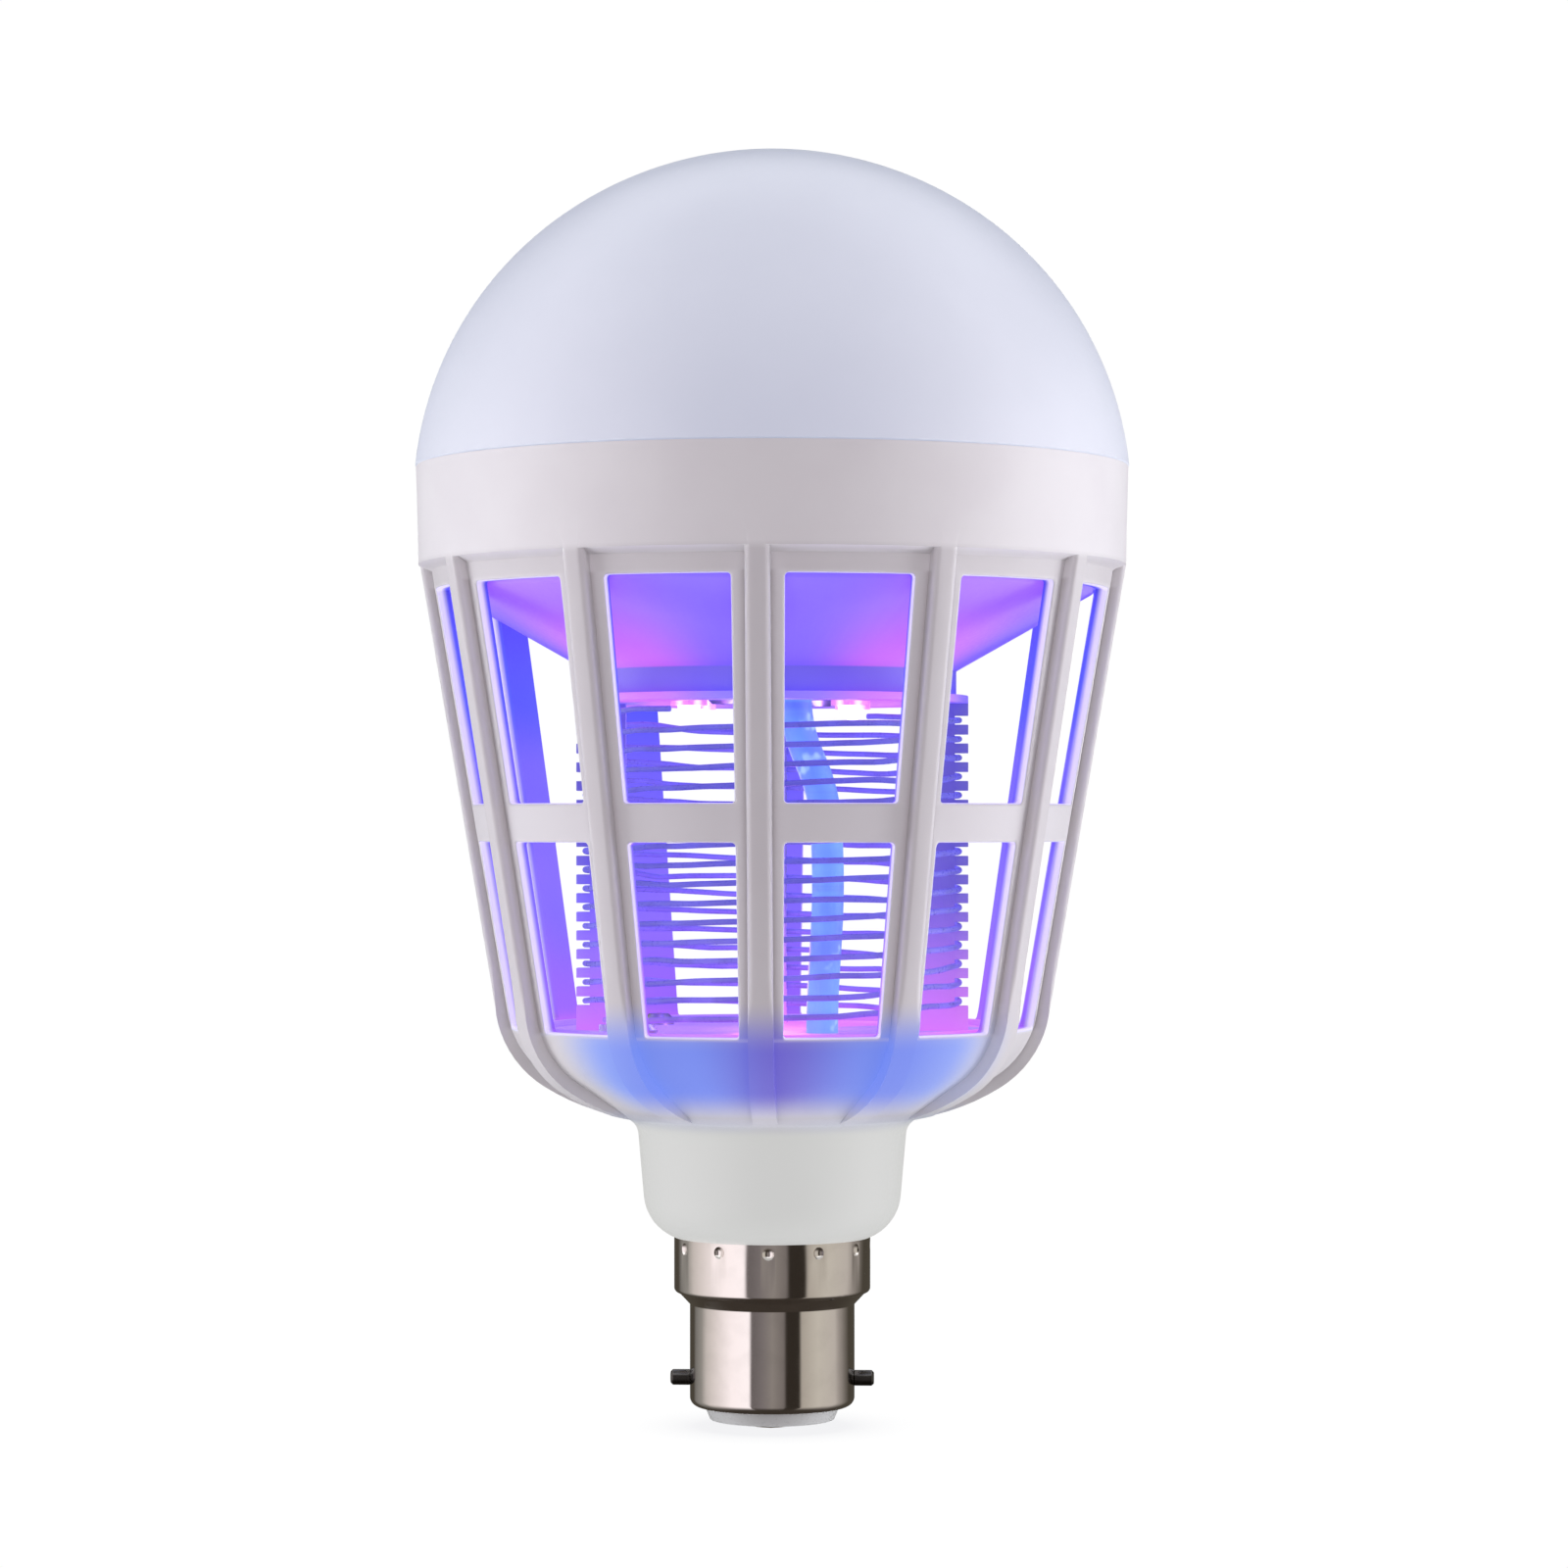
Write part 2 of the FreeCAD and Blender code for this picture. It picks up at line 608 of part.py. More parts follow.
def pocket_cutter():
    """The space between two ribs, from the foot of the bowl to the collar."""
    far = BODY_RADIUS + CLEAR_OUTSIDE
    runout = pocket_runout()
    shoulder = bowl_corner(BOWL_SHOULDER_HEADING, RIB_DEPTH)
    below = runout + (runout - shoulder).normalize()
    bevel_foot = z_collar - POCKET_BEVEL
    floor_radius = cage_radius(bevel_foot, RIB_DEPTH)
    bevel_slope = POCKET_BEVEL / (r_collar - floor_radius)
    outline = Outline(below.x, below.z)
    outline.to(shoulder.x, shoulder.z)
    outline.turn(BOWL_SHOULDER_HEADING, cage_heading, BOWL_CORNER_RADIUS - RIB_DEPTH)
    outline.to(floor_radius, bevel_foot)
    outline.to(far, bevel_foot + (far - floor_radius) * bevel_slope)
    outline.to(far, below.z)
    ring = outline.solid()
    apex = polar(RIB_WIDTH / 2 / math.sin(math.radians(bay_angle / 2)), bay_angle / 2, z_neck)
    reach = 2 * far
    corners = [apex, apex + polar(reach, 0), apex + polar(reach, bay_angle), apex]
    wedge = Part.Face(Part.makePolygon(corners)).extrude(Vector(0, 0, z_seam))
    return ring.common(wedge)


def mullion(height):
    """Width of the frame left between two neighbouring windows at a height."""
    share = (height - z_sill) / (z_head - z_sill)
    return MULLION_BOTTOM + share * (MULLION_TOP - MULLION_BOTTOM)


def window_half_width(height):
    """Half the width of a window, whose straight sides lean out towards the collar."""
    sill_floor = bowl_radius_at(z_sill, RIB_DEPTH)
    head_floor = cage_radius(z_head, RIB_DEPTH)
    share = (height - z_sill) / (z_head - z_sill)
    floor = sill_floor + share * (head_floor - sill_floor)
    return floor * tangent(bay_angle / 2) - mullion(height) / 2


def window_cutter(bottom, top):
    """A window through the wall of a bay, between two heights, facing X."""
    low = window_half_width(bottom)
    high = window_half_width(top)
    start = grid_radius
    corners = [
        Vector(start, -low, bottom),
        Vector(start, low, bottom),
        Vector(start, high, top),
        Vector(start, -high, top),
        Vector(start, -low, bottom),
    ]
    prism = Part.Face(Part.makePolygon(corners)).extrude(Vector(BODY_RADIUS, 0, 0))
    length = [edge for edge in prism.Edges if edge.BoundBox.XLength > BODY_RADIUS / 2]
    return prism.makeFillet(WINDOW_CORNER, length)


def pocket_floor_radius(height):
    """Radius of the floor of the pockets at a height."""
    if height < z_cage:
        return bowl_radius_at(height, RIB_DEPTH)
    return cage_radius(height, RIB_DEPTH)


def on_window_rim(edge):
    """Tells whether an edge is one where a window opens through the floor of a pocket."""
    first, last = edge.ParameterRange
    for share in (0.25, 0.5, 0.75):
        point = edge.valueAt(first + share * (last - first))
        if not z_sill - ON_SURFACE < point.z < z_head + ON_SURFACE:
            return False
        radius = math.hypot(point.x, point.y)
        turn = math.degrees(math.atan2(point.y, point.x)) % bay_angle - bay_angle / 2
        side = radius * math.sin(math.radians(abs(turn)))
        if abs(radius - pocket_floor_radius(point.z)) > ON_SURFACE:
            return False
        if side > window_half_width(point.z) + ON_SURFACE:
            return False
    return True


def cage_housing():
    """One moulding: neck, bowl, twelve ribs, two rows of windows and the collar."""
    bar_bottom = z_sill + LOWER_WINDOW_HEIGHT
    bar_top = bar_bottom + CROSS_BAR_HEIGHT
    windows = [window_cutter(z_sill, bar_bottom), window_cutter(bar_top, z_head)]
    pocket = pocket_cutter()
    shape = housing_blank().cut(housing_core())
    shape = shape.cut(pattern(pocket, RIB_COUNT))
    for window in windows:
        shape = shape.cut(pattern(window, RIB_COUNT, bay_angle / 2))
    rims = [edge for edge in shape.Edges if on_window_rim(edge)]
    return shape.makeFillet(WINDOW_EDGE, rims)


def slot_heights(angle):
    """Heights at which the two wires cross a post that stands at an angle."""
    heights = []
    for first in (WIRE_START_ANGLE, WIRE_START_ANGLE + 180):
        height = z_wire_start + WIRE_PITCH * ((angle - first) % 360) / 360
        while height < z_wire_end:
            heights.append(height)
            height += WIRE_PITCH
    return sorted(heights)


def post_space(bottom, top, gap):
    """The upright space that one comb post takes, with a gap round it."""
    x = (post_inner - gap, post_outer + gap)
    return block(x, (-POST_WIDTH / 2 - gap, POST_WIDTH / 2 + gap), (bottom, top))


def comb_post(angle):
    """An upright post, with a slot in its edge for each crossing wire."""
    half = WIRE_RADIUS + SLOT_CLEARANCE
    slot_floor = grid_radius - half
    section = Outline(post_inner, z_post_top)
    section.to(post_inner, z_post_foot)
    section.to(post_outer, z_post_foot)
    for height in slot_heights(angle):
        section.to(post_outer, height - half)
        section.to(slot_floor, height - half)
        section.to(slot_floor, height + half)
        section.to(post_outer, height + half)
    section.to(post_outer, z_post_top)
    section.to(post_inner, z_post_top)
    face = Part.Face(Part.Wire(section.edges))
    face.translate(Vector(0, -POST_WIDTH / 2, 0))
    return about_axis(face.extrude(Vector(0, POST_WIDTH, 0)), angle)


def comb_posts():
    """Four comb posts between the base and the ring, which carry the two wires."""
    return Part.makeCompound([comb_post(360.0 * i / POST_COUNT) for i in range(POST_COUNT)])


def grid_base():
    """Dished floor of the cage, with a pocket for the foot of each post."""
    base = Outline(0, z_base)
    base.to(base_radius, z_base)
    base.to(base_radius + BASE_LIP * tangent(CAGE_TAPER), z_base_top + BASE_LIP)
    base.to(base_radius - BASE_LIP, z_base_top + BASE_LIP)
    base.to(base_radius - BASE_LIP, z_base_top)
    base.to(0, z_base_top)
    screws = rod(SCREW_RADIUS + SCREW_FIT, z_base, z_seam, boss_circle)
    exits = rod(LEAD_RADIUS + FIT, z_base, z_wire_start, grid_radius)
    sleeve = lead(sleeve_route(), SLEEVE_RADIUS + FIT)
    feet = pattern(post_space(z_post_foot, z_seam, FIT), POST_COUNT)
    holes = pattern(screws, BOSS_COUNT, 180.0 / BOSS_COUNT) + pattern(exits, 2, WIRE_START_ANGLE)
    return base.solid().cut(holes + feet + [sleeve])


def post_ring():
    """Ring under the hub, notched for the tops of the posts."""
    ring = rod(post_outer, z_ring, z_hub).cut(rod(post_inner, z_ring, z_hub))
    return ring.cut(pattern(post_space(z_base, z_post_top, FIT), POST_COUNT))


def grid_wire(angle):
    """A sprung steel wire that climbs round the posts, bent from many short runs."""
    turns = (z_wire_end - z_wire_start) / WIRE_PITCH
    runs = int(turns * WIRE_RUNS_PER_TURN)
    points = []
    for i in range(runs + 1):
        turned = i / WIRE_RUNS_PER_TURN
        points.append(polar(grid_radius, angle + 360 * turned, z_wire_start + WIRE_PITCH * turned))
    section = Part.Wire(Part.makeCircle(WIRE_RADIUS, points[0], points[1] - points[0]))
    mitred = 1
    return Part.makePolygon(points).makePipeShell([section], True, False, mitred)


def reflector_funnel():
    """White funnel that closes the top of the cage, with a hub that holds the lure lamp."""
    slope = tangent(FUNNEL_ANGLE)
    wall = FUNNEL_WALL
    rise = wall / math.cos(math.radians(FUNNEL_ANGLE))
    inner_hub = hub_radius - wall
    skirt_top = r_ledge - LOOSE_FIT
    plate_top = z_hub_plate + wall
    inner_foot_r = funnel_foot_r - wall
    inner_foot_z = funnel_foot_z - wall * slope + rise
    outline = Outline(0, z_hub_plate)
    outline.to(inner_hub, z_hub_plate)
    outline.to(inner_hub, z_hub)
    outline.to(hub_radius, z_hub)
    outline.to(hub_radius, z_hub_top)
    outline.to(funnel_foot_r, funnel_foot_z)
    outline.to(skirt_top, z_ledge)
    outline.to(r_collar_bore - LOOSE_FIT, z_ledge)
    outline.to(r_collar_bore - LOOSE_FIT, z_funnel_rim)
    outline.to(skirt_top - wall, z_funnel_rim)
    outline.to(inner_foot_r, inner_foot_z)
    outline.to(inner_hub, inner_foot_z - (inner_foot_r - inner_hub) * slope)
    outline.to(inner_hub, plate_top)
    outline.to(0, plate_top)
    sleeve = rod(SLEEVE_RADIUS + FIT, z_hub, z_funnel_rim, *SLEEVE_TOP)
    pilot = rod(SCREW_RADIUS + SCREW_FIT, z_hub, z_funnel_rim, UV_SCREW_CIRCLE)
    return outline.solid().cut([sleeve] + pattern(pilot, UV_SCREW_COUNT, UV_SCREW_ANGLE))


def uv_led_board():
    """Round board in the mouth of the hub."""
    board = rod(hub_radius - FUNNEL_WALL - LOOSE_FIT, z_uv_board, z_hub_plate)
    sleeve = rod(SLEEVE_RADIUS + FIT, z_uv_board, z_hub_plate, *SLEEVE_TOP)
    hole = rod(SCREW_RADIUS + SCREW_FIT, z_uv_board, z_hub_plate, UV_SCREW_CIRCLE)
    return board.cut([sleeve] + pattern(hole, UV_SCREW_COUNT, UV_SCREW_ANGLE))


def uv_leds():
    """Four packages with domed lenses, facing down into the grid."""
    half = UV_LED_SIDE / 2
    body = block((-half, half), (-half, half), (z_uv_board - UV_LED_BODY, z_uv_board))
    lens = Part.makeSphere(UV_LENS_RADIUS, Vector(0, 0, z_uv_board - UV_LED_BODY))
    lamp = body.fuse(lens.cut(block((-half, half), (-half, half), (z_uv_board, z_seam))))
    lamp = lamp.cut(block((-half, half), (-half, half), (z_uv_board, z_seam)))
    lamp.translate(Vector(uv_ring, 0, 0))
    return Part.makeCompound(pattern(lamp, UV_LED_COUNT, 180.0 / UV_LED_COUNT))


def uv_board_screws():
    """Two screws that hold the round board up into the hub."""
    screws = []
    for i in range(UV_SCREW_COUNT):
        place = polar(UV_SCREW_CIRCLE, UV_SCREW_ANGLE + 360.0 * i / UV_SCREW_COUNT)
        length = UV_BOARD_THICKNESS + UV_SCREW_LENGTH
        screws.append(screw(z_uv_board, length, place.x, place.y, down=False))
    return Part.makeCompound(screws)


def base_screws():
    """Four screws through the floor of the cage into the bosses of the bowl."""
    screws = []
    for i in range(BOSS_COUNT):
        place = polar(boss_circle, (180.0 + 360.0 * i) / BOSS_COUNT)
        length = BASE_THICKNESS + SCREW_LENGTH
        screws.append(screw(z_base_top, length, place.x, place.y))
    return Part.makeCompound(screws)


def heat_sink_dish():
    """Pressed aluminium cup, upside down in the collar, that clamps the rim of the funnel."""
    bend = HEAT_SINK_BEND
    wall = HEAT_SINK_WALL
    outline = Outline(sink_radius, z_funnel_rim)
    outline.to(sink_radius, z_sink_top - bend)
    outline.turn(90, 180, bend)
    outline.to(0, z_sink_top)
    outline.to(0, z_sink_top - wall)
    outline.to(sink_radius - bend, z_sink_top - wall)
    outline.turn(0, -90, bend - wall)
    outline.to(sink_radius - wall, z_funnel_rim)
    holes = [rod(CENTRE_HOLE, z_funnel_rim, z_seam)]
    screws = rod(SCREW_RADIUS + SCREW_FIT, z_funnel_rim, z_seam, LED_SCREW_CIRCLE)
    return outline.solid().cut(holes + pattern(screws, LED_SCREW_COUNT))


def led_board():
    """Round metal cored board of the white lamp."""
    board = rod(led_board_radius, z_sink_top, z_led_board)
    holes = [rod(CENTRE_HOLE, z_sink_top, z_led_board)]
    screws = rod(SCREW_RADIUS + SCREW_FIT, z_sink_top, z_led_board, LED_SCREW_CIRCLE)
    return board.cut(holes + pattern(screws, LED_SCREW_COUNT))


def white_leds():
    """Two rings of small rectangular lamps, each with a shallow window in its face."""
    lamps = []
    for count, radius in LED_RINGS:
        x = (radius - LED_LENGTH / 2, radius + LED_LENGTH / 2)
        lamp = block(x, (-LED_WIDTH / 2, LED_WIDTH / 2), (z_led_board, z_led_board + LED_HEIGHT))
        rim = LED_HEIGHT / 2
        face = block(
            (x[0] + rim, x[1] - rim),
            (rim - LED_WIDTH / 2, LED_WIDTH / 2 - rim),
            (z_led_board + LED_HEIGHT * 0.75, z_led_board + LED_HEIGHT),
        )
        lamps += pattern(lamp.cut(face), count, 180.0 / count)
    return Part.makeCompound(lamps)


def led_board_screws():
    """Three screws that hold the white lamp's board on the heat sink."""
    screws = []
    for i in range(LED_SCREW_COUNT):
        place = polar(LED_SCREW_CIRCLE, 360.0 * i / LED_SCREW_COUNT)
        length = LED_BOARD_THICKNESS + LED_SCREW_LENGTH
        screws.append(screw(z_led_board, length, place.x, place.y))
    return Part.makeCompound(screws)


def dome_radii():
    """Radii of the crown's arc and of the side's arc, from the dome's height and its edge."""
    lean = math.radians(DOME_EDGE_LEAN)
    out = joint_heading()
    fall = tangent(DOME_CROWN_ANGLE / 2)
    share = 1 - math.sin(lean) - fall * math.cos(lean)
    side = (DOME_HEIGHT - fall * dome_edge_radius()) / share
    return side + (dome_edge_radius() - side * math.cos(lean)) / out.x, side


def dome_arcs():
    """Centres of the crown's arc and of the side's arc that meets it."""
    crown_radius, side_radius = dome_radii()
    crown = Vector(0, 0, z_seam + DOME_HEIGHT - crown_radius)
    return crown, crown + joint_heading() * (crown_radius - side_radius)


def joint_heading():
    """The way from the dome's middle to the place where its two arcs meet."""
    lean = math.radians(DOME_CROWN_ANGLE)
    return Vector(math.sin(lean), 0, math.cos(lean))


def between(centre, first, last, radius):
    """Radius and height of the point halfway along an arc, from its two end points."""
    half = centre + ((first - centre).normalize() + (last - centre).normalize()).normalize() * radius
    return half.x, half.z


def diffuser_dome():
    """Milky dome of two arcs that meet smoothly, with a step inside its edge."""
    crown, side = dome_arcs()
    crown_radius, side_radius = dome_radii()
    out = joint_heading()
    edge = Vector(dome_edge_radius(), 0, z_seam)
    joint = crown + out * crown_radius
    top = Vector(0, 0, z_seam + DOME_HEIGHT)
    inner_crown = crown_radius - DOME_WALL
    inner_side = side_radius - DOME_WALL
    inner_top = Vector(0, 0, top.z - DOME_WALL)
    inner_joint = crown + out * inner_crown
    step_top = z_seam + DOME_SPIGOT_HEIGHT + FIT
    step = Vector(side.x + math.sqrt(inner_side ** 2 - (step_top - side.z) ** 2), 0, step_top)
    outline = Outline(edge.x, edge.z)
    outline.arc(between(side, edge, joint, side_radius), (joint.x, joint.z))
    outline.arc(between(crown, joint, top, crown_radius), (top.x, top.z))
    outline.to(inner_top.x, inner_top.z)
    outline.arc(between(crown, inner_top, inner_joint, inner_crown), (inner_joint.x, inner_joint.z))
    outline.arc(between(side, inner_joint, step, inner_side), (step.x, step.z))
    outline.to(dome_rebate(), step_top)
    outline.to(dome_rebate(), z_seam)
    return outline.solid()


def sleeve_route():
    """Route of the sleeved leads, up through the middle of the grid with a slight bow."""
    rise = z_hub - z_base_top
    return [
        Vector(*SLEEVE_FOOT, z_base - SLEEVE_TAIL),
        Vector(*SLEEVE_FOOT, z_base_top + 2 * BASE_THICKNESS),
        Vector(*SLEEVE_BOW, z_base_top + rise * SLEEVE_BOW_SHARE),
        Vector(*SLEEVE_LEAN, z_base_top + rise * SLEEVE_LEAN_SHARE),
        Vector(*SLEEVE_TOP, z_hub - 2 * SLEEVE_RADIUS),
        Vector(*SLEEVE_TOP, z_hub_plate + FUNNEL_WALL + SLEEVE_RADIUS),
    ]


def supply_leads():
    """Two leads from the contacts up to the tail of the driver board."""
    start = z_rim + CAP_WALL + INSULATOR_HEIGHT + LOOSE_FIT
    beside = BOARD_THICKNESS / 2 + LEAD_RADIUS + SCREW_FIT
    route = [
        Vector(0, CONTACT_OFFSET, start),
        Vector(0, CONTACT_OFFSET, start + 0.4 * (z_board_tail - start)),
        Vector(0, beside, z_board_tail - LEAD_RADIUS),
        Vector(0, beside, z_board_tail + LEAD_OVERLAP),
    ]
    return Part.makeCompound(pattern(lead(route, LEAD_RADIUS), 2))


def grid_leads():
    """Two high voltage leads from the board to the lower ends of the wires."""
    beside = BOARD_THICKNESS / 2 + LEAD_RADIUS + SCREW_FIT
    end = polar(grid_radius, WIRE_START_ANGLE)
    start_x = board_half_width - RAIL_REACH - LEAD_RADIUS
    route = [
        Vector(start_x, beside, z_board_top - LEAD_OVERLAP),
        Vector(start_x, beside, z_board_top),
        Vector(end.x, end.y, z_base - LEAD_DROP),
        Vector(end.x, end.y, z_wire_start - WIRE_RADIUS - FIT),
    ]
    return Part.makeCompound(pattern(lead(route, LEAD_RADIUS), 2))


def led_leads():
    """Two leads from the top of the sleeve to the middle of the white lamp's board."""
    start = z_hub_plate + FUNNEL_WALL + SLEEVE_RADIUS
    spread = LEAD_RADIUS + FIT
    leads = []
    for side in (-spread, spread):
        route = [
            Vector(SLEEVE_TOP[0] + side, SLEEVE_TOP[1], start),
            Vector(SLEEVE_TOP[0] + side, SLEEVE_TOP[1], start + (z_sink_top - start) * 0.35),
            Vector(side, 0, start + (z_sink_top - start) * 0.7),
            Vector(side, 0, z_led_board),
        ]
        leads.append(lead(route, LEAD_RADIUS))
    return Part.makeCompound(leads)


def driver_board():
    """Upright board in the rails of the neck, with a narrow tail that reaches into the cap."""
    half = BOARD_THICKNESS / 2
    corners = [
        Vector(-BOARD_TAIL_HALF_WIDTH, -half, z_board_tail),
        Vector(BOARD_TAIL_HALF_WIDTH, -half, z_board_tail),
        Vector(BOARD_TAIL_HALF_WIDTH, -half, z_board_step),
        Vector(board_half_width, -half, z_board_step),
        Vector(board_half_width, -half, z_board_top),
        Vector(-board_half_width, -half, z_board_top),
        Vector(-board_half_width, -half, z_board_step),
        Vector(-BOARD_TAIL_HALF_WIDTH, -half, z_board_step),
        Vector(-BOARD_TAIL_HALF_WIDTH, -half, z_board_tail),
    ]
    return Part.Face(Part.makePolygon(corners)).extrude(Vector(0, BOARD_THICKNESS, 0))


def board_front(offset):
    """A distance in front of the board, as a value along Y."""
    return -BOARD_THICKNESS / 2 - offset


def leg(x, z, reach):
    """A wire leg that stands on the front of the board."""
    return Part.makeCylinder(WIRE_LEG_RADIUS, reach, Vector(x, board_front(0), z), Vector(0, -1, 0))


def smoothing_capacitor():
    """Can with a beaded waist, lying up the front of the board on two legs."""
    bottom = z_board_step + PART_FOOT_GAP
    bead = bottom + CAN_BEAD_START
    can = Outline(0, bottom)
    can.to(CAN_RADIUS - CAN_EDGE, bottom)
    can.turn(0, 90, CAN_EDGE)
    can.to(CAN_RADIUS, bead)
    can.to(CAN_RADIUS - CAN_BEAD_DEPTH, bead + CAN_BEAD_WIDTH / 3)
    can.to(CAN_RADIUS - CAN_BEAD_DEPTH, bead + CAN_BEAD_WIDTH * 2 / 3)
    can.to(CAN_RADIUS, bead + CAN_BEAD_WIDTH)
    can.to(CAN_RADIUS, bottom + CAN_LENGTH - CAN_EDGE)
    can.turn(90, 180, CAN_EDGE)
    can.to(0, bottom + CAN_LENGTH)
    shape = can.solid()
    x = -CAN_RADIUS - PART_FOOT_GAP
    y = board_front(CAN_RADIUS + PART_FOOT_GAP)
    shape.translate(Vector(x, y, 0))
    legs = []
    for side in (-CAN_RADIUS / 2, CAN_RADIUS / 2):
        legs.append(leg(x + side, bottom + CAN_RADIUS, CAN_RADIUS))
    return shape.fuse(legs)


def film_capacitor():
    """Moulded box on the upper front of the board."""
    width, depth, height = FILM_SIZE
    left = neck_bore - RAIL_REACH - FIT - PART_FOOT_GAP - width
    top = z_drum_top + PART_FOOT_GAP + height
    face = (board_front(PART_FOOT_GAP + depth), board_front(PART_FOOT_GAP))
    box = block((left, left + width), face, (top - height, top))
    box = box.makeChamfer(PART_FOOT_GAP, box.Edges)
    legs = [leg(left + width * share, top - height / 2, depth / 2) for share in (0.2, 0.8)]
    return box.fuse(legs)


def drum_inductor():
    """Ferrite drum with a wound waist, lying up the front of the board."""
    bottom = z_drum_top - DRUM_LENGTH
    top = z_drum_top
    drum = Outline(0, bottom)
    drum.to(DRUM_RADIUS, bottom)
    drum.to(DRUM_RADIUS, bottom + DRUM_FLANGE)
    drum.to(DRUM_RADIUS - DRUM_WINDING_GAP, bottom + DRUM_FLANGE)
    drum.to(DRUM_RADIUS - DRUM_WINDING_GAP, top - DRUM_FLANGE)
    drum.to(DRUM_RADIUS, top - DRUM_FLANGE)
    drum.to(DRUM_RADIUS, top)
    drum.to(0, top)
    shape = drum.solid()
    x = DRUM_RADIUS + PART_FOOT_GAP
    shape.translate(Vector(x, board_front(DRUM_RADIUS + PART_FOOT_GAP), 0))
    offsets = (-DRUM_LEG_OFFSET, DRUM_LEG_OFFSET)
    legs = [leg(x + side, bottom + DRUM_LENGTH / 2, DRUM_RADIUS) for side in offsets]
    return shape.fuse(legs)


def on_back(size, x, z):
    """A low part laid flat on the back of the board."""
    width, depth, height = size
    back = BOARD_THICKNESS / 2
    return block((x - width / 2, x + width / 2), (back, back + depth), (z - height / 2, z + height / 2))


def flat_legs(size, x, z, count, pitch):
    """Rows of small flat legs on the two sides of a low part."""
    width, depth, height = size
    legs = []
    for side in (-1, 1):
        for i in range(count):
            level = z + (i - (count - 1) / 2) * pitch
            middle = x + side * (width / 2 + PART_FOOT_GAP)
            foot = (PART_FOOT_GAP * 2, depth / 3, pitch / 3)
            legs.append(on_back(foot, middle, level))
    return legs


def bridge_rectifier():
    place = (-CHIP_SPACING, z_board_step - CHIP_DROP)
    return on_back(BRIDGE_SIZE, *place).fuse(flat_legs(BRIDGE_SIZE, *place, 2, BRIDGE_LEG_PITCH))


def driver_chip():
    place = (CHIP_SPACING, z_board_step - CHIP_DROP)
    return on_back(CHIP_SIZE, *place).fuse(flat_legs(CHIP_SIZE, *place, 4, CHIP_LEG_PITCH))


def chip_resistors():
    """A row of small resistors across the back of the board."""
    row = []
    for i in range(CHIP_RESISTOR_COUNT):
        x = (i - (CHIP_RESISTOR_COUNT - 1) / 2) * CHIP_RESISTOR_PITCH
        row.append(on_back(CHIP_RESISTOR_SIZE, x, z_board_step - CHIP_RESISTOR_DROP))
    return Part.makeCompound(row)


def axial_part(radius, length, x, z, front=True):
    """A round part that lies across the board on two bent legs."""
    side = -1 if front else 1
    y = side * (BOARD_THICKNESS / 2 + PART_FOOT_GAP + radius)
    body = Part.makeCylinder(radius, length, Vector(x - length / 2, y, z), Vector(1, 0, 0))
    body = body.makeChamfer(radius / 4, round_edges(body))
    reach = length / 2 + radius
    wire = Part.makeCylinder(WIRE_LEG_RADIUS, 2 * reach, Vector(x - reach, y, z), Vector(1, 0, 0))
    legs = [wire]
    for end in (x - reach + WIRE_LEG_RADIUS, x + reach - WIRE_LEG_RADIUS):
        height = abs(y) - BOARD_THICKNESS / 2
        legs.append(Part.makeCylinder(WIRE_LEG_RADIUS, height, Vector(end, y, z), Vector(0, -side, 0)))
    return body.fuse(legs)


def fuse_resistor():
    """Fusible resistor on the tail of the board, inside the cap."""
    return axial_part(FUSE_RADIUS, FUSE_LENGTH, 0.0, z_board_step - FUSE_DROP)


def multiplier_diodes():
    """Four diodes of the voltage multiplier, in a ladder on the back of the board."""
    ladder = []
    for i in range(DIODE_COUNT):
        side = DIODE_SPACING if i % 2 else -DIODE_SPACING
        level = z_board_step + DIODE_RISE + DIODE_PITCH * (i // 2)
        ladder.append(axial_part(DIODE_RADIUS, DIODE_LENGTH, side, level, front=False))
    return Part.makeCompound(ladder)


def multiplier_capacitors():
    """Three disc capacitors of the voltage multiplier, standing off the back of the board."""
    level = z_board_top - DISC_DROP - DISC_THICKNESS / 2
    discs = []
    for i in range(DISC_COUNT):
        x = (i - (DISC_COUNT - 1) / 2) * (2 * DISC_RADIUS + PART_FOOT_GAP)
        y = BOARD_THICKNESS / 2 + PART_FOOT_GAP + DISC_RADIUS
        low = level - DISC_THICKNESS / 2
        disc = rod(DISC_RADIUS, low, low + DISC_THICKNESS, x, y)
        disc = disc.makeChamfer(DISC_THICKNESS / 3, round_edges(disc))
        feet = []
        for side in (-DISC_RADIUS / 2, DISC_RADIUS / 2):
            foot = Vector(x + side, BOARD_THICKNESS / 2, level)
            feet.append(Part.makeCylinder(WIRE_LEG_RADIUS, DISC_RADIUS, foot, Vector(0, 1, 0)))
        discs.append(disc.fuse(feet))
    return Part.makeCompound(discs)


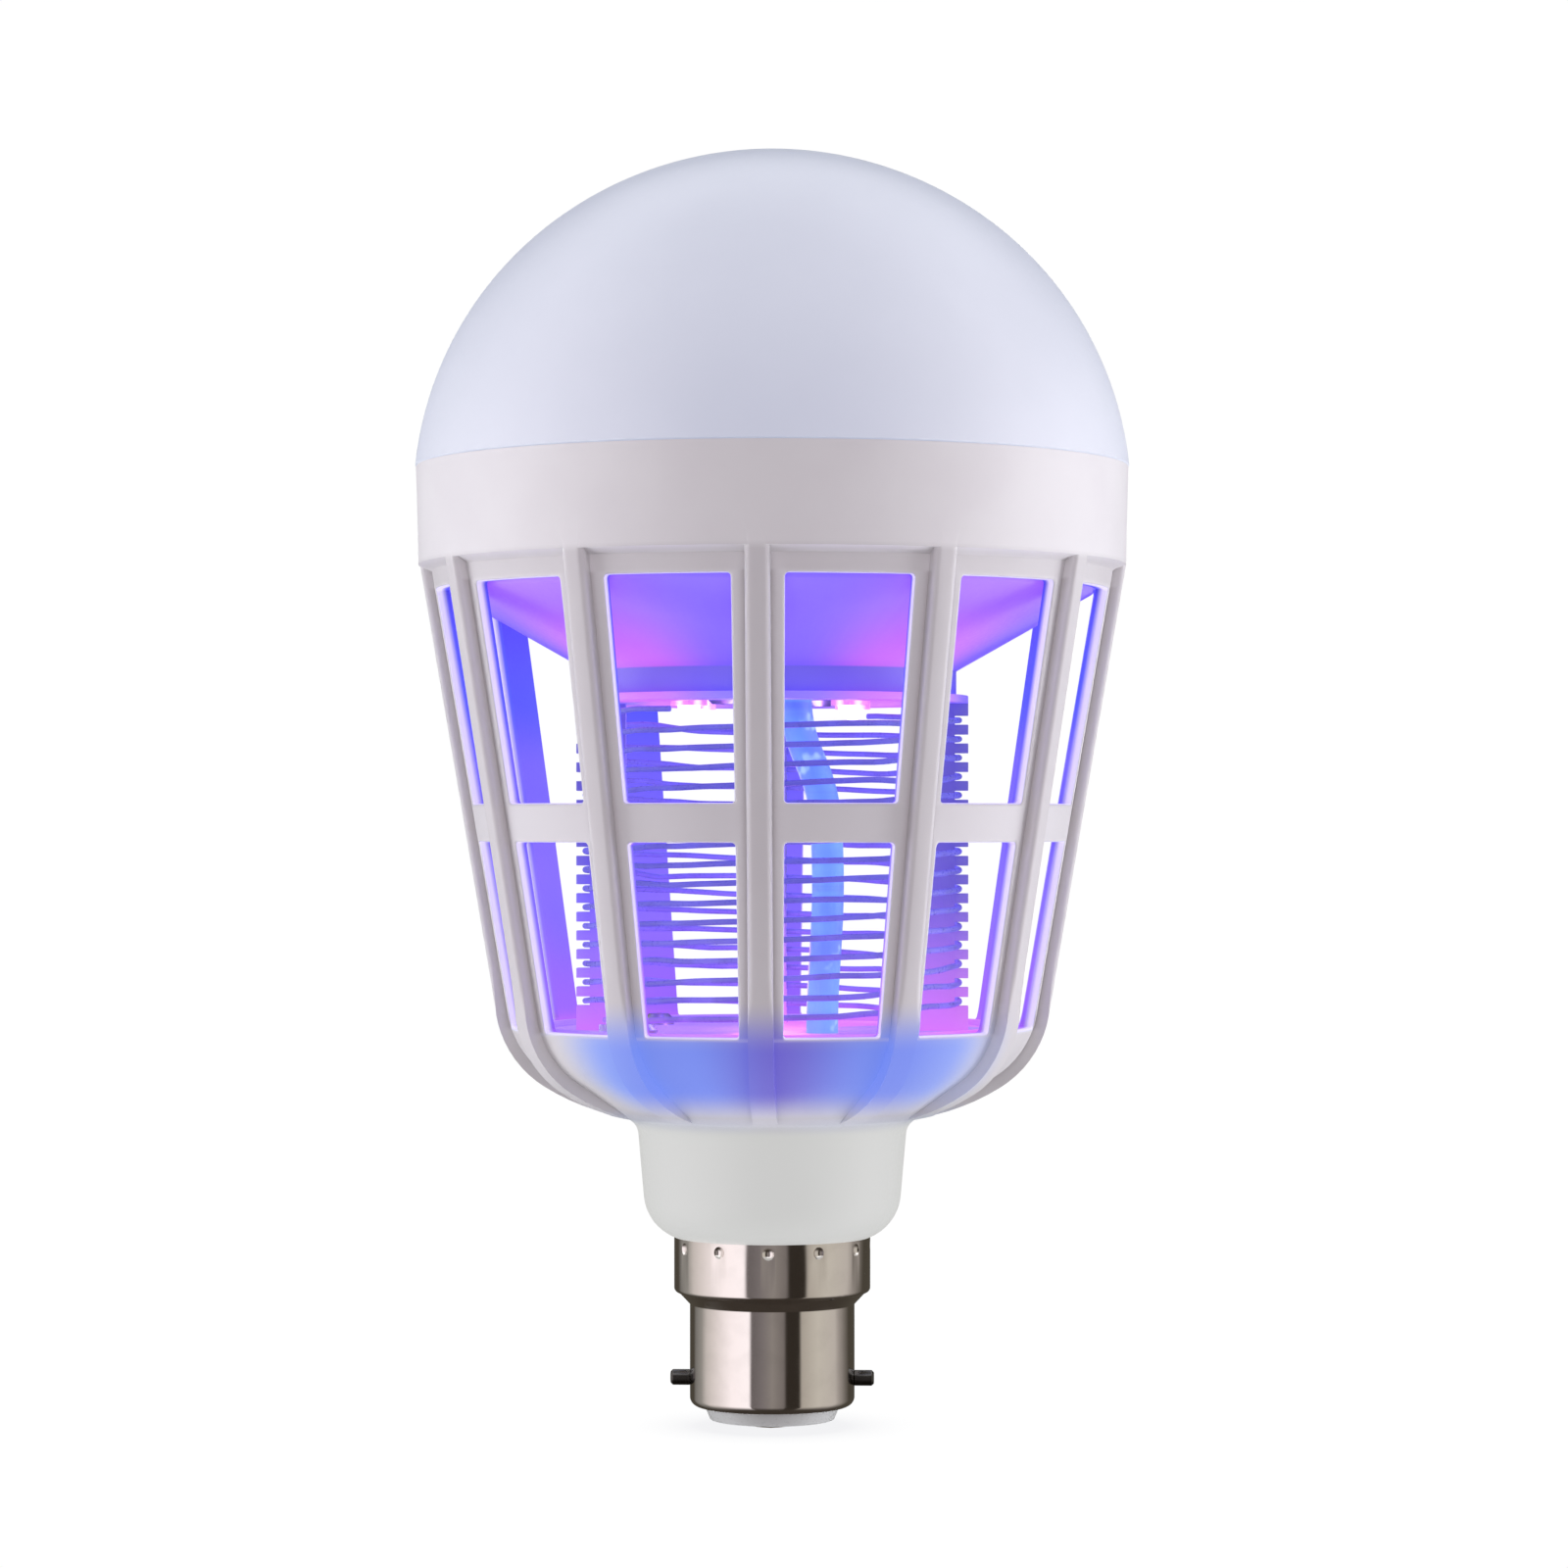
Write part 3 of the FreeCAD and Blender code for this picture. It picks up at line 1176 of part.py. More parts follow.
PIECES = {
    "cap_shell": cap_shell,
    "bayonet_pins": bayonet_pins,
    "cap_insulator": cap_insulator,
    "contact_plates": contact_plates,
    "contact_solder": contact_solder,
    "cage_housing": cage_housing,
    "grid_base": grid_base,
    "comb_posts": comb_posts,
    "post_ring": post_ring,
    "base_screws": base_screws,
    "grid_wire_live": lambda: grid_wire(WIRE_START_ANGLE),
    "grid_wire_return": lambda: grid_wire(WIRE_START_ANGLE + 180),
    "reflector_funnel": reflector_funnel,
    "uv_led_board": uv_led_board,
    "uv_leds": uv_leds,
    "uv_board_screws": uv_board_screws,
    "heat_sink_dish": heat_sink_dish,
    "led_board": led_board,
    "white_leds": white_leds,
    "led_board_screws": led_board_screws,
    "diffuser_dome": diffuser_dome,
    "lead_sleeve": lambda: lead(sleeve_route(), SLEEVE_RADIUS),
    "led_leads": led_leads,
    "supply_leads": supply_leads,
    "grid_leads": grid_leads,
    "driver_board": driver_board,
    "smoothing_capacitor": smoothing_capacitor,
    "film_capacitor": film_capacitor,
    "drum_inductor": drum_inductor,
    "bridge_rectifier": bridge_rectifier,
    "driver_chip": driver_chip,
    "chip_resistors": chip_resistors,
    "fuse_resistor": fuse_resistor,
    "multiplier_diodes": multiplier_diodes,
    "multiplier_capacitors": multiplier_capacitors,
}

os.makedirs("parts", exist_ok=True)
for name, make in PIECES.items():
    shape = make()
    shape.exportStep(os.path.join("parts", name + ".step"))
    print(name, len(shape.Solids), "solids", round(shape.Volume, 1), "mm3", shape.isValid())
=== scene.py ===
import json
import math

import bmesh
import bpy
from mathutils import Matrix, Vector, noise


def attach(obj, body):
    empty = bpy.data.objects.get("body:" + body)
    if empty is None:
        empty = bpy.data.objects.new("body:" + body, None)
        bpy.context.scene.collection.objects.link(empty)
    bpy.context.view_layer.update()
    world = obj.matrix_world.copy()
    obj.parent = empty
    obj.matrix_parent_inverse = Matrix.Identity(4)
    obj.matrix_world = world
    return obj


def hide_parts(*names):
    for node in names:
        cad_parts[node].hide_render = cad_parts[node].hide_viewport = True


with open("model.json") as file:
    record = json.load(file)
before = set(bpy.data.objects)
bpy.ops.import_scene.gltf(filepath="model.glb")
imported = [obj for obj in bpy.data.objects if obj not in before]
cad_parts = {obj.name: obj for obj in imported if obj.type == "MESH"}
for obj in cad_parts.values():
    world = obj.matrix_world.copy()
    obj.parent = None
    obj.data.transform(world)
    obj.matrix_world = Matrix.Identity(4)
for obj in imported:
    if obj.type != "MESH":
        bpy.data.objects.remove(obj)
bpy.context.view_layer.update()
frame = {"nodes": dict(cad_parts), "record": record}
NODES = frame["nodes"]
MM = 0.001

# Sizes of the bulb in millimetres, with the axis on Z and the contacts at Z = 0
CAGE_TOP = 114.55
CAGE_TOP_RADIUS = 47.16
CAGE_SLOPE = math.tan(math.radians(9.7))
SILL = 53.15
HEAD = 111.25
FLOOR_INSET = 1.62

# Ribs, which are rounded over above the bowl
RIB_COUNT = 12
RIB_STEP = 2 * math.pi / RIB_COUNT
RIB_HALF = 1.6
RIB_ROUNDING = 0.8
RIB_FOOT = 54.6
RIB_FULL = 61.0
RIB_END = 114.49
FOOT_CUTS = 6
LENGTH_CUTS = 10
CUTS_ACROSS = 5

# Dome, made of one arc for its side and one for its crown
DOME_EDGE = 127.55
DOME_EASE = 0.25
DOME_WALL = 1.4
DOME_STEP_RADIUS = 46.22
DOME_STEP_TOP = 130.7
CROWN_RADIUS = 48.789
CROWN_CENTRE = (0.0, 121.061)
SIDE_RADIUS = 46.428
SIDE_CENTRE = (1.421, 122.947)
CROWN_ANGLE = math.radians(37.0)
DOME_COUNT = 192

# Grid wires, which sag and bow a little between the posts
WIRE_TURN = 30.0
WIRE_RADIUS = 0.4
WIRE_RING = 24.98
WIRE_PITCH = 5.0
WIRE_START = 54.35
WIRE_END = 94.77
WIRE_PLAY = 0.3
WAVE_RATE = 1.3
WAVE_HEIGHT = 0.75
KINK_RATE = 4.1
KINK_HEIGHT = 0.25
WIRE_BOW = 0.25
BOW_CHANGE = 0.3
RUNS_PER_TURN = 24
POINTS_PER_TURN = 96

# Places of the lure lamps, of their light painted into the materials, and of the painted even light on
# the neck
LAMP_PLACE = 10.52
PATCH_TURN = 4.0
BOWL_FOOT = (41.2, 46.2)
BOWL_FADE = (58.0, 51.0)
NECK_LIGHT_FADE = (43.2, 39.4)
FRONT = -math.pi / 2

# Strength of the studio light
FRONT_LIGHT = 1.42
SIDE_LIGHT = 5.1
LEFT_SHARE = 0.97
RIGHT_SHARE = 1.10
PAPER_LIGHT = 1.02

# Camera, with its turn in degrees and the rest of its place in millimetres
CAMERA_TURN = 2.3
CAMERA_DISTANCE = 590.0
CAMERA_HEIGHT = 80.2
LENS = 101.3
SHIFT_X = 0.0075
SHIFT_Y = 0.025

# Floor that bends up into a wall, in metres
FLOOR_FRONT = -2.0
FLOOR_HALF_WIDTH = 3.0
FLOOR_DROP = 0.0004
BEND_START = 1.2
BEND_RADIUS = 0.6
BEND_COUNT = 12
WALL_TOP = 3.0


def rgb(red, green, blue):
    """A colour given in display values from 0 to 255, as linear values."""
    out = []
    for value in (red, green, blue):
        v = value / 255
        out.append(v / 12.92 if v <= 0.04045 else ((v + 0.055) / 1.055) ** 2.4)
    return tuple(out)


class Graph:
    """Builds a node tree from short calls."""

    def __init__(self, tree):
        self.tree = tree
        tree.nodes.clear()

    def add(self, kind, inputs=None, **settings):
        """Adds a node. An input is a value or another node's output."""
        node = self.tree.nodes.new("ShaderNode" + kind)
        for key, value in settings.items():
            setattr(node, key, value)
        for key, value in (inputs or {}).items():
            socket = node.inputs[key]
            if isinstance(value, bpy.types.NodeSocket):
                self.tree.links.new(value, socket)
            elif socket.type == "RGBA" and len(value) == 3:
                socket.default_value = (*value, 1.0)
            else:
                socket.default_value = value
        return node

    def math(self, operation, a, b=0.0):
        """One sum of two numbers."""
        return self.add("Math", {0: a, 1: b}, operation=operation).outputs[0]

    def step(self, value, low, high, start=0.0, end=1.0):
        """Goes smoothly from start to end as value goes from low to high."""
        inputs = {"Value": value, "From Min": low, "From Max": high, "To Min": start, "To Max": end}
        return self.add("MapRange", inputs, interpolation_type="SMOOTHSTEP").outputs[0]

    def line(self, value, low, high, start=0.0, end=1.0):
        """Goes evenly from start to end as value goes from low to high."""
        inputs = {"Value": value, "From Min": low, "From Max": high, "To Min": start, "To Max": end}
        return self.add("MapRange", inputs).outputs[0]

    def ramp(self, value, stops, ease="EASE"):
        """Colours along a value that goes from 0 to 1."""
        node = self.add("ValToRGB", {0: value})
        ramp = node.color_ramp
        ramp.interpolation = ease
        ramp.elements.remove(ramp.elements[0])
        for i, (at, color) in enumerate(stops):
            element = ramp.elements.new(at) if i else ramp.elements[0]
            element.position = at
            element.color = (*color, 1.0)
        return node.outputs[0]

    def mix(self, factor, a, b, blend="MIX"):
        """Colour a where factor is 0, and colour b where it is 1."""
        node = self.add("Mix", {0: factor, 6: a, 7: b}, data_type="RGBA", blend_type=blend)
        return node.outputs[2]

    def noise(self, scale, detail=2.0, vector=None):
        """Cloudy values about a half, with a scale in waves a millimetre."""
        inputs = {"Scale": scale, "Detail": detail, "Vector": vector or self.place()}
        return self.add("TexNoise", inputs).outputs["Fac"]

    def place(self):
        """The point's place in the bulb's frame, in millimetres."""
        position = self.add("NewGeometry").outputs["Position"]
        return self.add("VectorMath", {0: position, "Scale": 1 / MM}, operation="SCALE").outputs[0]

    def round_place(self):
        """Distance from the axis, angle round it and height of the point, in millimetres."""
        x, y, z = self.add("SeparateXYZ", {0: self.place()}).outputs
        return self.length(x, y), self.math("ARCTAN2", y, x), z

    def length(self, x, y):
        """How long a flat vector is."""
        squares = self.math("ADD", self.math("MULTIPLY", x, x), self.math("MULTIPLY", y, y))
        return self.math("SQRT", squares)

    def turn_from_front(self, angle):
        """Angle round the axis in degrees, 0 at the front and positive towards the right."""
        turned = self.math("MULTIPLY", self.math("SUBTRACT", angle, FRONT), 180 / math.pi)
        wrapped = self.math("FLOORED_MODULO", self.math("ADD", turned, 180.0), 360.0)
        return self.math("SUBTRACT", wrapped, 180.0)

    def hollow(self, distance, samples):
        """Goes from 0 in a deep corner of the same piece to 1 in the open."""
        inputs = {"Distance": distance * MM}
        return self.add("AmbientOcclusion", inputs, samples=samples, only_local=True).outputs["AO"]

    def height(self):
        """Height of the point, in millimetres."""
        return self.add("SeparateXYZ", {0: self.place()}).outputs[2]

    def turn(self):
        """Angle of the point round the axis in degrees, 0 at the front."""
        return self.turn_from_front(self.round_place()[1])

    def bump(self, height, strength, distance):
        """A surface that looks raised where height is large, by a distance in millimetres."""
        inputs = {"Height": height, "Strength": strength, "Distance": distance * MM}
        return self.add("Bump", inputs).outputs[0]

    def finish(self, shader):
        """Joins a shader to the material's output."""
        out = self.add("OutputMaterial")
        self.tree.links.new(shader, out.inputs[0])


def new_graph(name):
    """A new material and the builder of its node tree."""
    material = bpy.data.materials.new(name)
    material.use_nodes = True
    return material, Graph(material.node_tree)


def principled(g, inputs):
    """The one shader that every surface of the bulb uses."""
    return g.add("BsdfPrincipled", inputs).outputs[0]


def moulded(name, color, rough, mottle=0.03):
    """Moulded plastic with a fine grain, faint mottling and an uneven sheen."""
    material, g = new_graph(name)
    soft = g.noise(0.09, 3.0)
    fine = g.noise(2.2, 3.0)
    darker = tuple(v * (1 - 2 * mottle) for v in color)
    base = g.mix(g.step(soft, 0.3, 0.7), darker, color)
    sheen = g.line(fine, 0.3, 0.7, rough - 0.05, rough + 0.06)
    inputs = {
        "Base Color": base,
        "Roughness": sheen,
        "Normal": g.bump(g.noise(5.0, 2.0), 0.35, 0.02),
    }
    g.finish(principled(g, inputs))
    return material


def metal(name, color, rough, dirt=0.15, scratch=0.3):
    """Metal with fine turned lines, faint dulling and small marks."""
    material, g = new_graph(name)
    radius, angle, height = g.round_place()
    around = g.math("MULTIPLY", angle, 0.6)
    along = g.math("MULTIPLY", height, 7.0)
    lines = g.add("CombineXYZ", {0: around, 1: along, 2: radius}).outputs[0]
    turned = g.noise(1.0, 2.0, lines)
    dull = g.noise(0.35, 4.0)
    darker = tuple(v * (1 - dirt) for v in color)
    inputs = {
        "Base Color": g.mix(g.step(dull, 0.42, 0.7), color, darker),
        "Metallic": 1.0,
        "Roughness": g.line(dull, 0.3, 0.75, rough, rough + 0.05),
        "Normal": g.bump(turned, scratch, 0.01),
    }
    g.finish(principled(g, inputs))
    return material


def clean_mesh(node):
    """The CAD node's surface as one closed mesh with its flat faces joined."""
    mesh = bmesh.new()
    mesh.from_mesh(NODES[node].data)
    bmesh.ops.remove_doubles(mesh, verts=mesh.verts, dist=0.002 * MM)
    flat = math.radians(0.3)
    bmesh.ops.dissolve_limit(mesh, angle_limit=flat, verts=mesh.verts, edges=mesh.edges)
    return mesh


def add_object(name, mesh, sharp=35.0):
    """Turns a bmesh into a smooth shaded object that keeps its sharp edges."""
    data = bpy.data.meshes.new(name)
    for face in mesh.faces:
        face.smooth = True
    for edge in mesh.edges:
        edge.smooth = len(edge.link_faces) == 2 and edge.calc_face_angle(0.0) < math.radians(sharp)
    mesh.to_mesh(data)
    mesh.free()
    piece = bpy.data.objects.new(name, data)
    bpy.context.scene.collection.objects.link(piece)
    return piece


def eased_copy(node, width):
    """A copy of a CAD node with its sharp edges rounded off."""
    mesh = clean_mesh(node)
    sharp = math.radians(30)
    edges = [e for e in mesh.edges if len(e.link_faces) == 2 and e.calc_face_angle(0.0) > sharp]
    bmesh.ops.bevel(
        mesh, geom=edges, offset=width * MM, offset_type="OFFSET", segments=2,
        profile=0.5, affect="EDGES", clamp_overlap=True, miter_outer="ARC", miter_inner="SHARP",
    )
    return mesh


def rib_place(point):
    """The way out along the nearest rib, and how far a point is beside its middle and below its face."""
    turn = math.atan2(point.y, point.x)
    middle = round(turn / RIB_STEP) * RIB_STEP
    flat = math.hypot(point.x, point.y) / MM
    outside = CAGE_TOP_RADIUS - (CAGE_TOP - point.z / MM) * CAGE_SLOPE
    out = Vector((math.cos(middle), math.sin(middle), 0.0))
    return out, flat * abs(math.sin(turn - middle)), outside - flat


def on_rib(face):
    """Whether a face is the front of a rib above the bowl, or one of its sides."""
    front = flank = True
    top = max(vert.co.z for vert in face.verts) / MM
    for vert in face.verts:
        height = vert.co.z / MM
        side, depth = rib_place(vert.co)[1:]
        front = front and RIB_FOOT - 0.2 < height and side < RIB_HALF + 0.05 and abs(depth) < 0.1
        flank = flank and abs(side - RIB_HALF) < 0.02
    return RIB_FOOT < top < CAGE_TOP + 0.1 and (front or flank)


def cut_across(mesh, parts):
    """Cuts the ribs at rising heights, closer together at the foot, and returns the cut parts."""
    levels = [RIB_FOOT + (RIB_FULL - RIB_FOOT) * i / FOOT_CUTS for i in range(FOOT_CUTS + 2)]
    levels += [RIB_FULL + (RIB_END - RIB_FULL) * i / LENGTH_CUTS for i in range(1, LENGTH_CUTS + 1)]
    for level in levels:
        place = (0, 0, level * MM)
        cut = bmesh.ops.bisect_plane(mesh, geom=parts, plane_co=place, plane_no=(0, 0, 1))
        parts = list(set(cut["geom"] + cut["geom_cut"]))
    return parts


def cut_along(mesh, parts):
    """Cuts each rib along its length, closer together towards its edges."""
    for i in range(RIB_COUNT // 2):
        across = Vector((-math.sin(i * RIB_STEP), math.cos(i * RIB_STEP), 0.0))
        near = []
        for part in parts:
            point = part.co if isinstance(part, bmesh.types.BMVert) else part.verts[0].co
            if abs(point.dot(across)) < (RIB_HALF + 0.2) * MM:
                near.append(part)
        for k in range(CUTS_ACROSS):
            turned = math.radians(90 * k / CUTS_ACROSS)
            side = RIB_HALF - RIB_ROUNDING + RIB_ROUNDING * math.sin(turned)
            for sign in (-1, 1):
                place = across * (sign * side * MM)
                cut = bmesh.ops.bisect_plane(mesh, geom=near, plane_co=place, plane_no=across)
                near = list(set(cut["geom"] + cut["geom_cut"]))


def rounded_housing():
    """The housing with its ribs rounded over above the bowl."""
    mesh = clean_mesh("cage_housing")
    faces = [face for face in mesh.faces if on_rib(face)]
    parts = set(faces)
    for face in faces:
        parts.update(face.edges)
        parts.update(face.verts)
    cut_along(mesh, cut_across(mesh, list(parts)))
    width = RIB_ROUNDING
    for vert in mesh.verts:
        height = vert.co.z / MM
        if not RIB_FOOT < height < RIB_END + 0.02:
            continue
        out, side, depth = rib_place(vert.co)
        beyond = min(side - (RIB_HALF - width), width)
        if side < RIB_HALF + 0.05 and beyond > 0 and abs(depth) < width:
            share = min((height - RIB_FOOT) / (RIB_FULL - RIB_FOOT), 1)
            drop = (width - math.sqrt(width * width - beyond * beyond)) * share
            if drop > depth:
                vert.co -= out * ((drop - depth) * MM)
    mesh.normal_update()
    return mesh


def as_piece(node, name, mesh, material, sharp=35.0):
    """Puts a new piece in the place of a CAD node."""
    piece = add_object(name, mesh, sharp)
    piece.data.materials.append(material)
    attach(piece, "root")
    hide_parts(node)
    return piece


def lathe(profile, count):
    """A closed outline turned round the axis. A point on the axis becomes one vertex."""
    mesh = bmesh.new()
    rings = []
    for radius, height in profile:
        if radius < 1e-6:
            rings.append([mesh.verts.new((0, 0, height * MM))])
            continue
        ring = []
        for i in range(count):
            a = 2 * math.pi * i / count
            place = Vector((radius * math.cos(a), radius * math.sin(a), height)) * MM
            ring.append(mesh.verts.new(place))
        rings.append(ring)
    for k, ring in enumerate(rings):
        after = rings[(k + 1) % len(rings)]
        if len(ring) == 1 and len(after) == 1:
            continue
        for i in range(count):
            j = (i + 1) % count
            if len(ring) == 1:
                mesh.faces.new((ring[0], after[i], after[j]))
            elif len(after) == 1:
                mesh.faces.new((ring[i], after[0], ring[j]))
            else:
                mesh.faces.new((ring[i], after[i], after[j], ring[j]))
    bmesh.ops.recalc_face_normals(mesh, faces=mesh.faces)
    return mesh


def tube(points, radius, sides=10):
    """A round bar along a row of points."""
    mesh = bmesh.new()
    rings = []
    for i, point in enumerate(points):
        before = points[max(i - 1, 0)]
        after = points[min(i + 1, len(points) - 1)]
        along = (after - before).normalized()
        side = along.cross(Vector((0, 0, 1))).normalized()
        up = side.cross(along).normalized()
        ring = []
        for k in range(sides):
            a = 2 * math.pi * k / sides
            ring.append(mesh.verts.new(point + (side * math.cos(a) + up * math.sin(a)) * radius))
        rings.append(ring)
    for ring, after in zip(rings, rings[1:]):
        for k in range(sides):
            j = (k + 1) % sides
            mesh.faces.new((ring[k], ring[j], after[j], after[k]))
    mesh.faces.new(rings[0])
    mesh.faces.new(rings[-1])
    bmesh.ops.recalc_face_normals(mesh, faces=mesh.faces)
    return mesh


def height_share(g):
    """How far up the cage a point is, from 0 at its floor to 1 at its top."""
    return g.line(g.height(), 52.0, 112.0)


# Plain colours of the lure lamps' light, painted into the parts inside the cage as a glow
VIOLET_LIGHT = rgb(100, 70, 240)
PINK_LIGHT = rgb(190, 80, 220)
BLUE_LIGHT = rgb(60, 55, 205)


def near_lamps(g):
    """Goes from 0 between the four lure lamps to 1 beside each of them."""
    four_times_round = g.math("MULTIPLY", g.math("SUBTRACT", g.turn(), 45.0), math.pi / 45)
    return g.step(g.math("COSINE", four_times_round), -0.8, 0.9)


def inside_glow(g):
    """Light of the lure lamp, painted as a glow on the plastic inside the cage."""
    color = g.ramp(height_share(g), [
        (0.00, rgb(190, 100, 235)),
        (0.05, rgb(150, 95, 245)),
        (0.30, rgb(128, 102, 250)),
        (0.58, rgb(108, 92, 248)),
        (0.76, rgb(64, 76, 248)),
        (1.00, rgb(66, 60, 225)),
    ])
    # Lighter blue patches of painted light
    patches = g.step(g.noise(0.05, 1.0), 0.35, 0.7)
    return g.mix(g.math("MULTIPLY", patches, 0.3), color, rgb(84, 84, 250))


def shell_inset(g, radius, height):
    """Depth below the outside of the cage, in millimetres."""
    narrower = g.math("MULTIPLY", g.math("SUBTRACT", CAGE_TOP, height), CAGE_SLOPE)
    outside = g.math("SUBTRACT", CAGE_TOP_RADIUS, narrower)
    return g.math("SUBTRACT", outside, radius)


def bowl_share(g, turn, height):
    """How much painted light from inside shows on the bowl, in two broad patches."""
    low = g.step(height, *BOWL_FOOT)
    high = g.step(height, *BOWL_FADE)
    twice_round = g.math("MULTIPLY", g.math("SUBTRACT", turn, PATCH_TURN), math.pi / 90)
    swing = g.math("COSINE", twice_round)
    patch = g.step(swing, -0.45, 0.15)
    cloud = g.step(g.noise(0.04, 1.0), 0.2, 0.6, 0.8, 1.0)
    return g.math("MULTIPLY", g.math("MULTIPLY", low, high), g.math("MULTIPLY", patch, cloud))


def bowl_glow(g, turn):
    """Painted light through the bowl: violet in the middle of each patch, then blue, pale at its sides.
    """
    moved = g.math("ADD", turn, 90.0 - PATCH_TURN)
    half = g.math("SUBTRACT", g.math("FLOORED_MODULO", moved, 180.0), 90.0)
    beside = g.math("ABSOLUTE", half)
    color = g.mix(g.step(beside, 0.0, 20.0), rgb(90, 80, 190), rgb(100, 130, 230))
    return g.mix(g.step(beside, 25.0, 60.0), color, rgb(150, 180, 245))


def housing_material():
    """White moulded plastic with the lure lamps' light painted in as a glow at the windows, on the bowl
    and inside. Painted shade darkens it inside the cage, below the collar, on its pocket floors and in
    its creases, and a painted even light brightens the neck.
    """
    material, g = new_graph("white_housing")
    radius, angle, height = g.round_place()
    turn = g.turn_from_front(angle)
    inset = shell_inset(g, radius, height)
    soft = g.noise(0.07, 3.0)
    white = g.mix(g.step(soft, 0.3, 0.7), (0.79, 0.775, 0.785), (0.82, 0.81, 0.815))
    above_sill = g.step(height, SILL - 0.7, SILL)
    in_cage = g.math("MULTIPLY", above_sill, g.step(height, HEAD + 0.6, HEAD + 0.1))
    inside = g.math("MULTIPLY", g.step(inset, 2.3, 3.2), in_cage)
    lip = g.math("MULTIPLY", g.step(inset, FLOOR_INSET + 0.12, FLOOR_INSET + 0.3), in_cage)
    # Painted light of the lure lamps inside the cage, with painted shade in its hollows
    glow = g.mix(g.hollow(7, 6), rgb(28, 20, 90), inside_glow(g))
    # Lilac-white painted glow on the window lips
    color = g.mix(inside, rgb(216, 206, 252), glow)
    # Painted lamp light on the bowl, and the strength of all the painted glow
    bowl = g.math("MULTIPLY", bowl_share(g, turn, height), g.math("SUBTRACT", 1.0, lip))
    color = g.mix(g.math("MAXIMUM", inside, lip), bowl_glow(g, turn), color)
    power = g.math("MAXIMUM", inside, g.math("MULTIPLY", lip, 0.5))
    power = g.math("MAXIMUM", power, g.math("MULTIPLY", bowl, 0.85))
    # Painted shade: the base goes dark blue inside the cage and on the bowl's painted patches
    painted_shade = g.math("MAXIMUM", inside, g.math("MULTIPLY", bowl, 0.93))
    # Painted shade by height: all below the collar is darker, most at the foot of the bowl
    shade_by_height = g.ramp(g.line(height, 36.0, 120.0), [
        (0.00, (0.80, 0.80, 0.80)),
        (0.12, (0.76, 0.76, 0.76)),
        (0.23, (0.81, 0.80, 0.805)),
        (0.93, (0.81, 0.80, 0.805)),
        (0.94, (1.0, 1.0, 1.0)),
    ], "LINEAR")
    white = g.mix(1.0, white, shade_by_height, "MULTIPLY")
    # Painted shade on the pocket floors between the ribs
    floor = g.math("MULTIPLY", g.step(inset, 1.2, 1.5), in_cage)
    white = g.mix(floor, white, (0.70, 0.685, 0.70))
    # Painted shade in the corners of the pockets
    shallow = g.math("MULTIPLY", g.step(inset, 1.9, 1.7), in_cage)
    in_pocket = g.math("MULTIPLY", g.step(inset, 0.3, 0.9), shallow)
    crease_shade = g.math("MULTIPLY", g.step(g.hollow(2.2, 8), 0.95, 0.58), in_pocket)
    white = g.mix(crease_shade, white, (0.53, 0.505, 0.515))
    base = g.mix(painted_shade, white, rgb(70, 68, 120))
    # Painted even light on the neck: a dim base with a steady white glow
    neck = g.step(height, *NECK_LIGHT_FADE)
    base = g.mix(neck, base, (0.165, 0.168, 0.163))
    color = g.mix(neck, color, (1.0, 1.012, 0.985))
    power = g.math("MAXIMUM", power, g.math("MULTIPLY", neck, 0.48))
    fine = g.noise(2.2, 3.0)
    inputs = {
        "Base Color": base,
        "Roughness": g.line(fine, 0.3, 0.7, 0.36, 0.48),
        "Normal": g.bump(g.noise(5.0, 2.0), 0.3, 0.02),
        "Emission Color": color,
        "Emission Strength": power,
    }
    g.finish(principled(g, inputs))
    return material


def funnel_glow(g):
    """Painted violet light on the ceiling of the cage, pink beside each lure lamp, blue on the hub."""
    height = g.height()
    pink = g.math("MULTIPLY", near_lamps(g), g.step(height, 109.0, 102.0, 0.4, 1.0))
    slope = g.mix(pink, VIOLET_LIGHT, PINK_LIGHT)
    return g.mix(g.step(height, 100.3, 100.6), BLUE_LIGHT, slope)


def glowing(name, color, glow, strength, rough=0.4):
    """Plastic or metal with the lure lamp's light painted in as a glow, with painted shade in its
    hollows.
    """
    material, g = new_graph(name)
    mottle = g.step(g.noise(0.12, 3.0), 0.3, 0.7)
    lit = glow(g)
    # Painted shade: the glow goes dark blue in hollows
    painted_shade = g.mix(0.72, lit, rgb(20, 14, 80))
    inputs = {
        "Base Color": g.mix(mottle, tuple(v * 0.93 for v in color), color),
        "Roughness": g.line(g.noise(2.0, 2.0), 0.3, 0.7, rough - 0.05, rough + 0.07),
        "Normal": g.bump(g.noise(4.0, 2.0), 0.3, 0.02),
        "Emission Color": g.mix(g.hollow(3, 4), painted_shade, lit),
        "Emission Strength": strength,
    }
    g.finish(principled(g, inputs))
    return material


def wire_glow(g):
    """Painted dull blue light on the grid wires, pink near the floor, with darker painted patches."""
    color = g.ramp(height_share(g), [
        (0.0, rgb(205, 95, 225)),
        (0.07, rgb(92, 74, 198)),
        (0.35, rgb(64, 62, 184)),
        (0.8, rgb(56, 56, 180)),
    ])
    # Patches of painted shade on the wires
    painted_shade = g.step(g.noise(0.22, 1.0), 0.42, 0.62)
    return g.mix(g.math("MULTIPLY", painted_shade, 0.5), color, rgb(34, 30, 140))


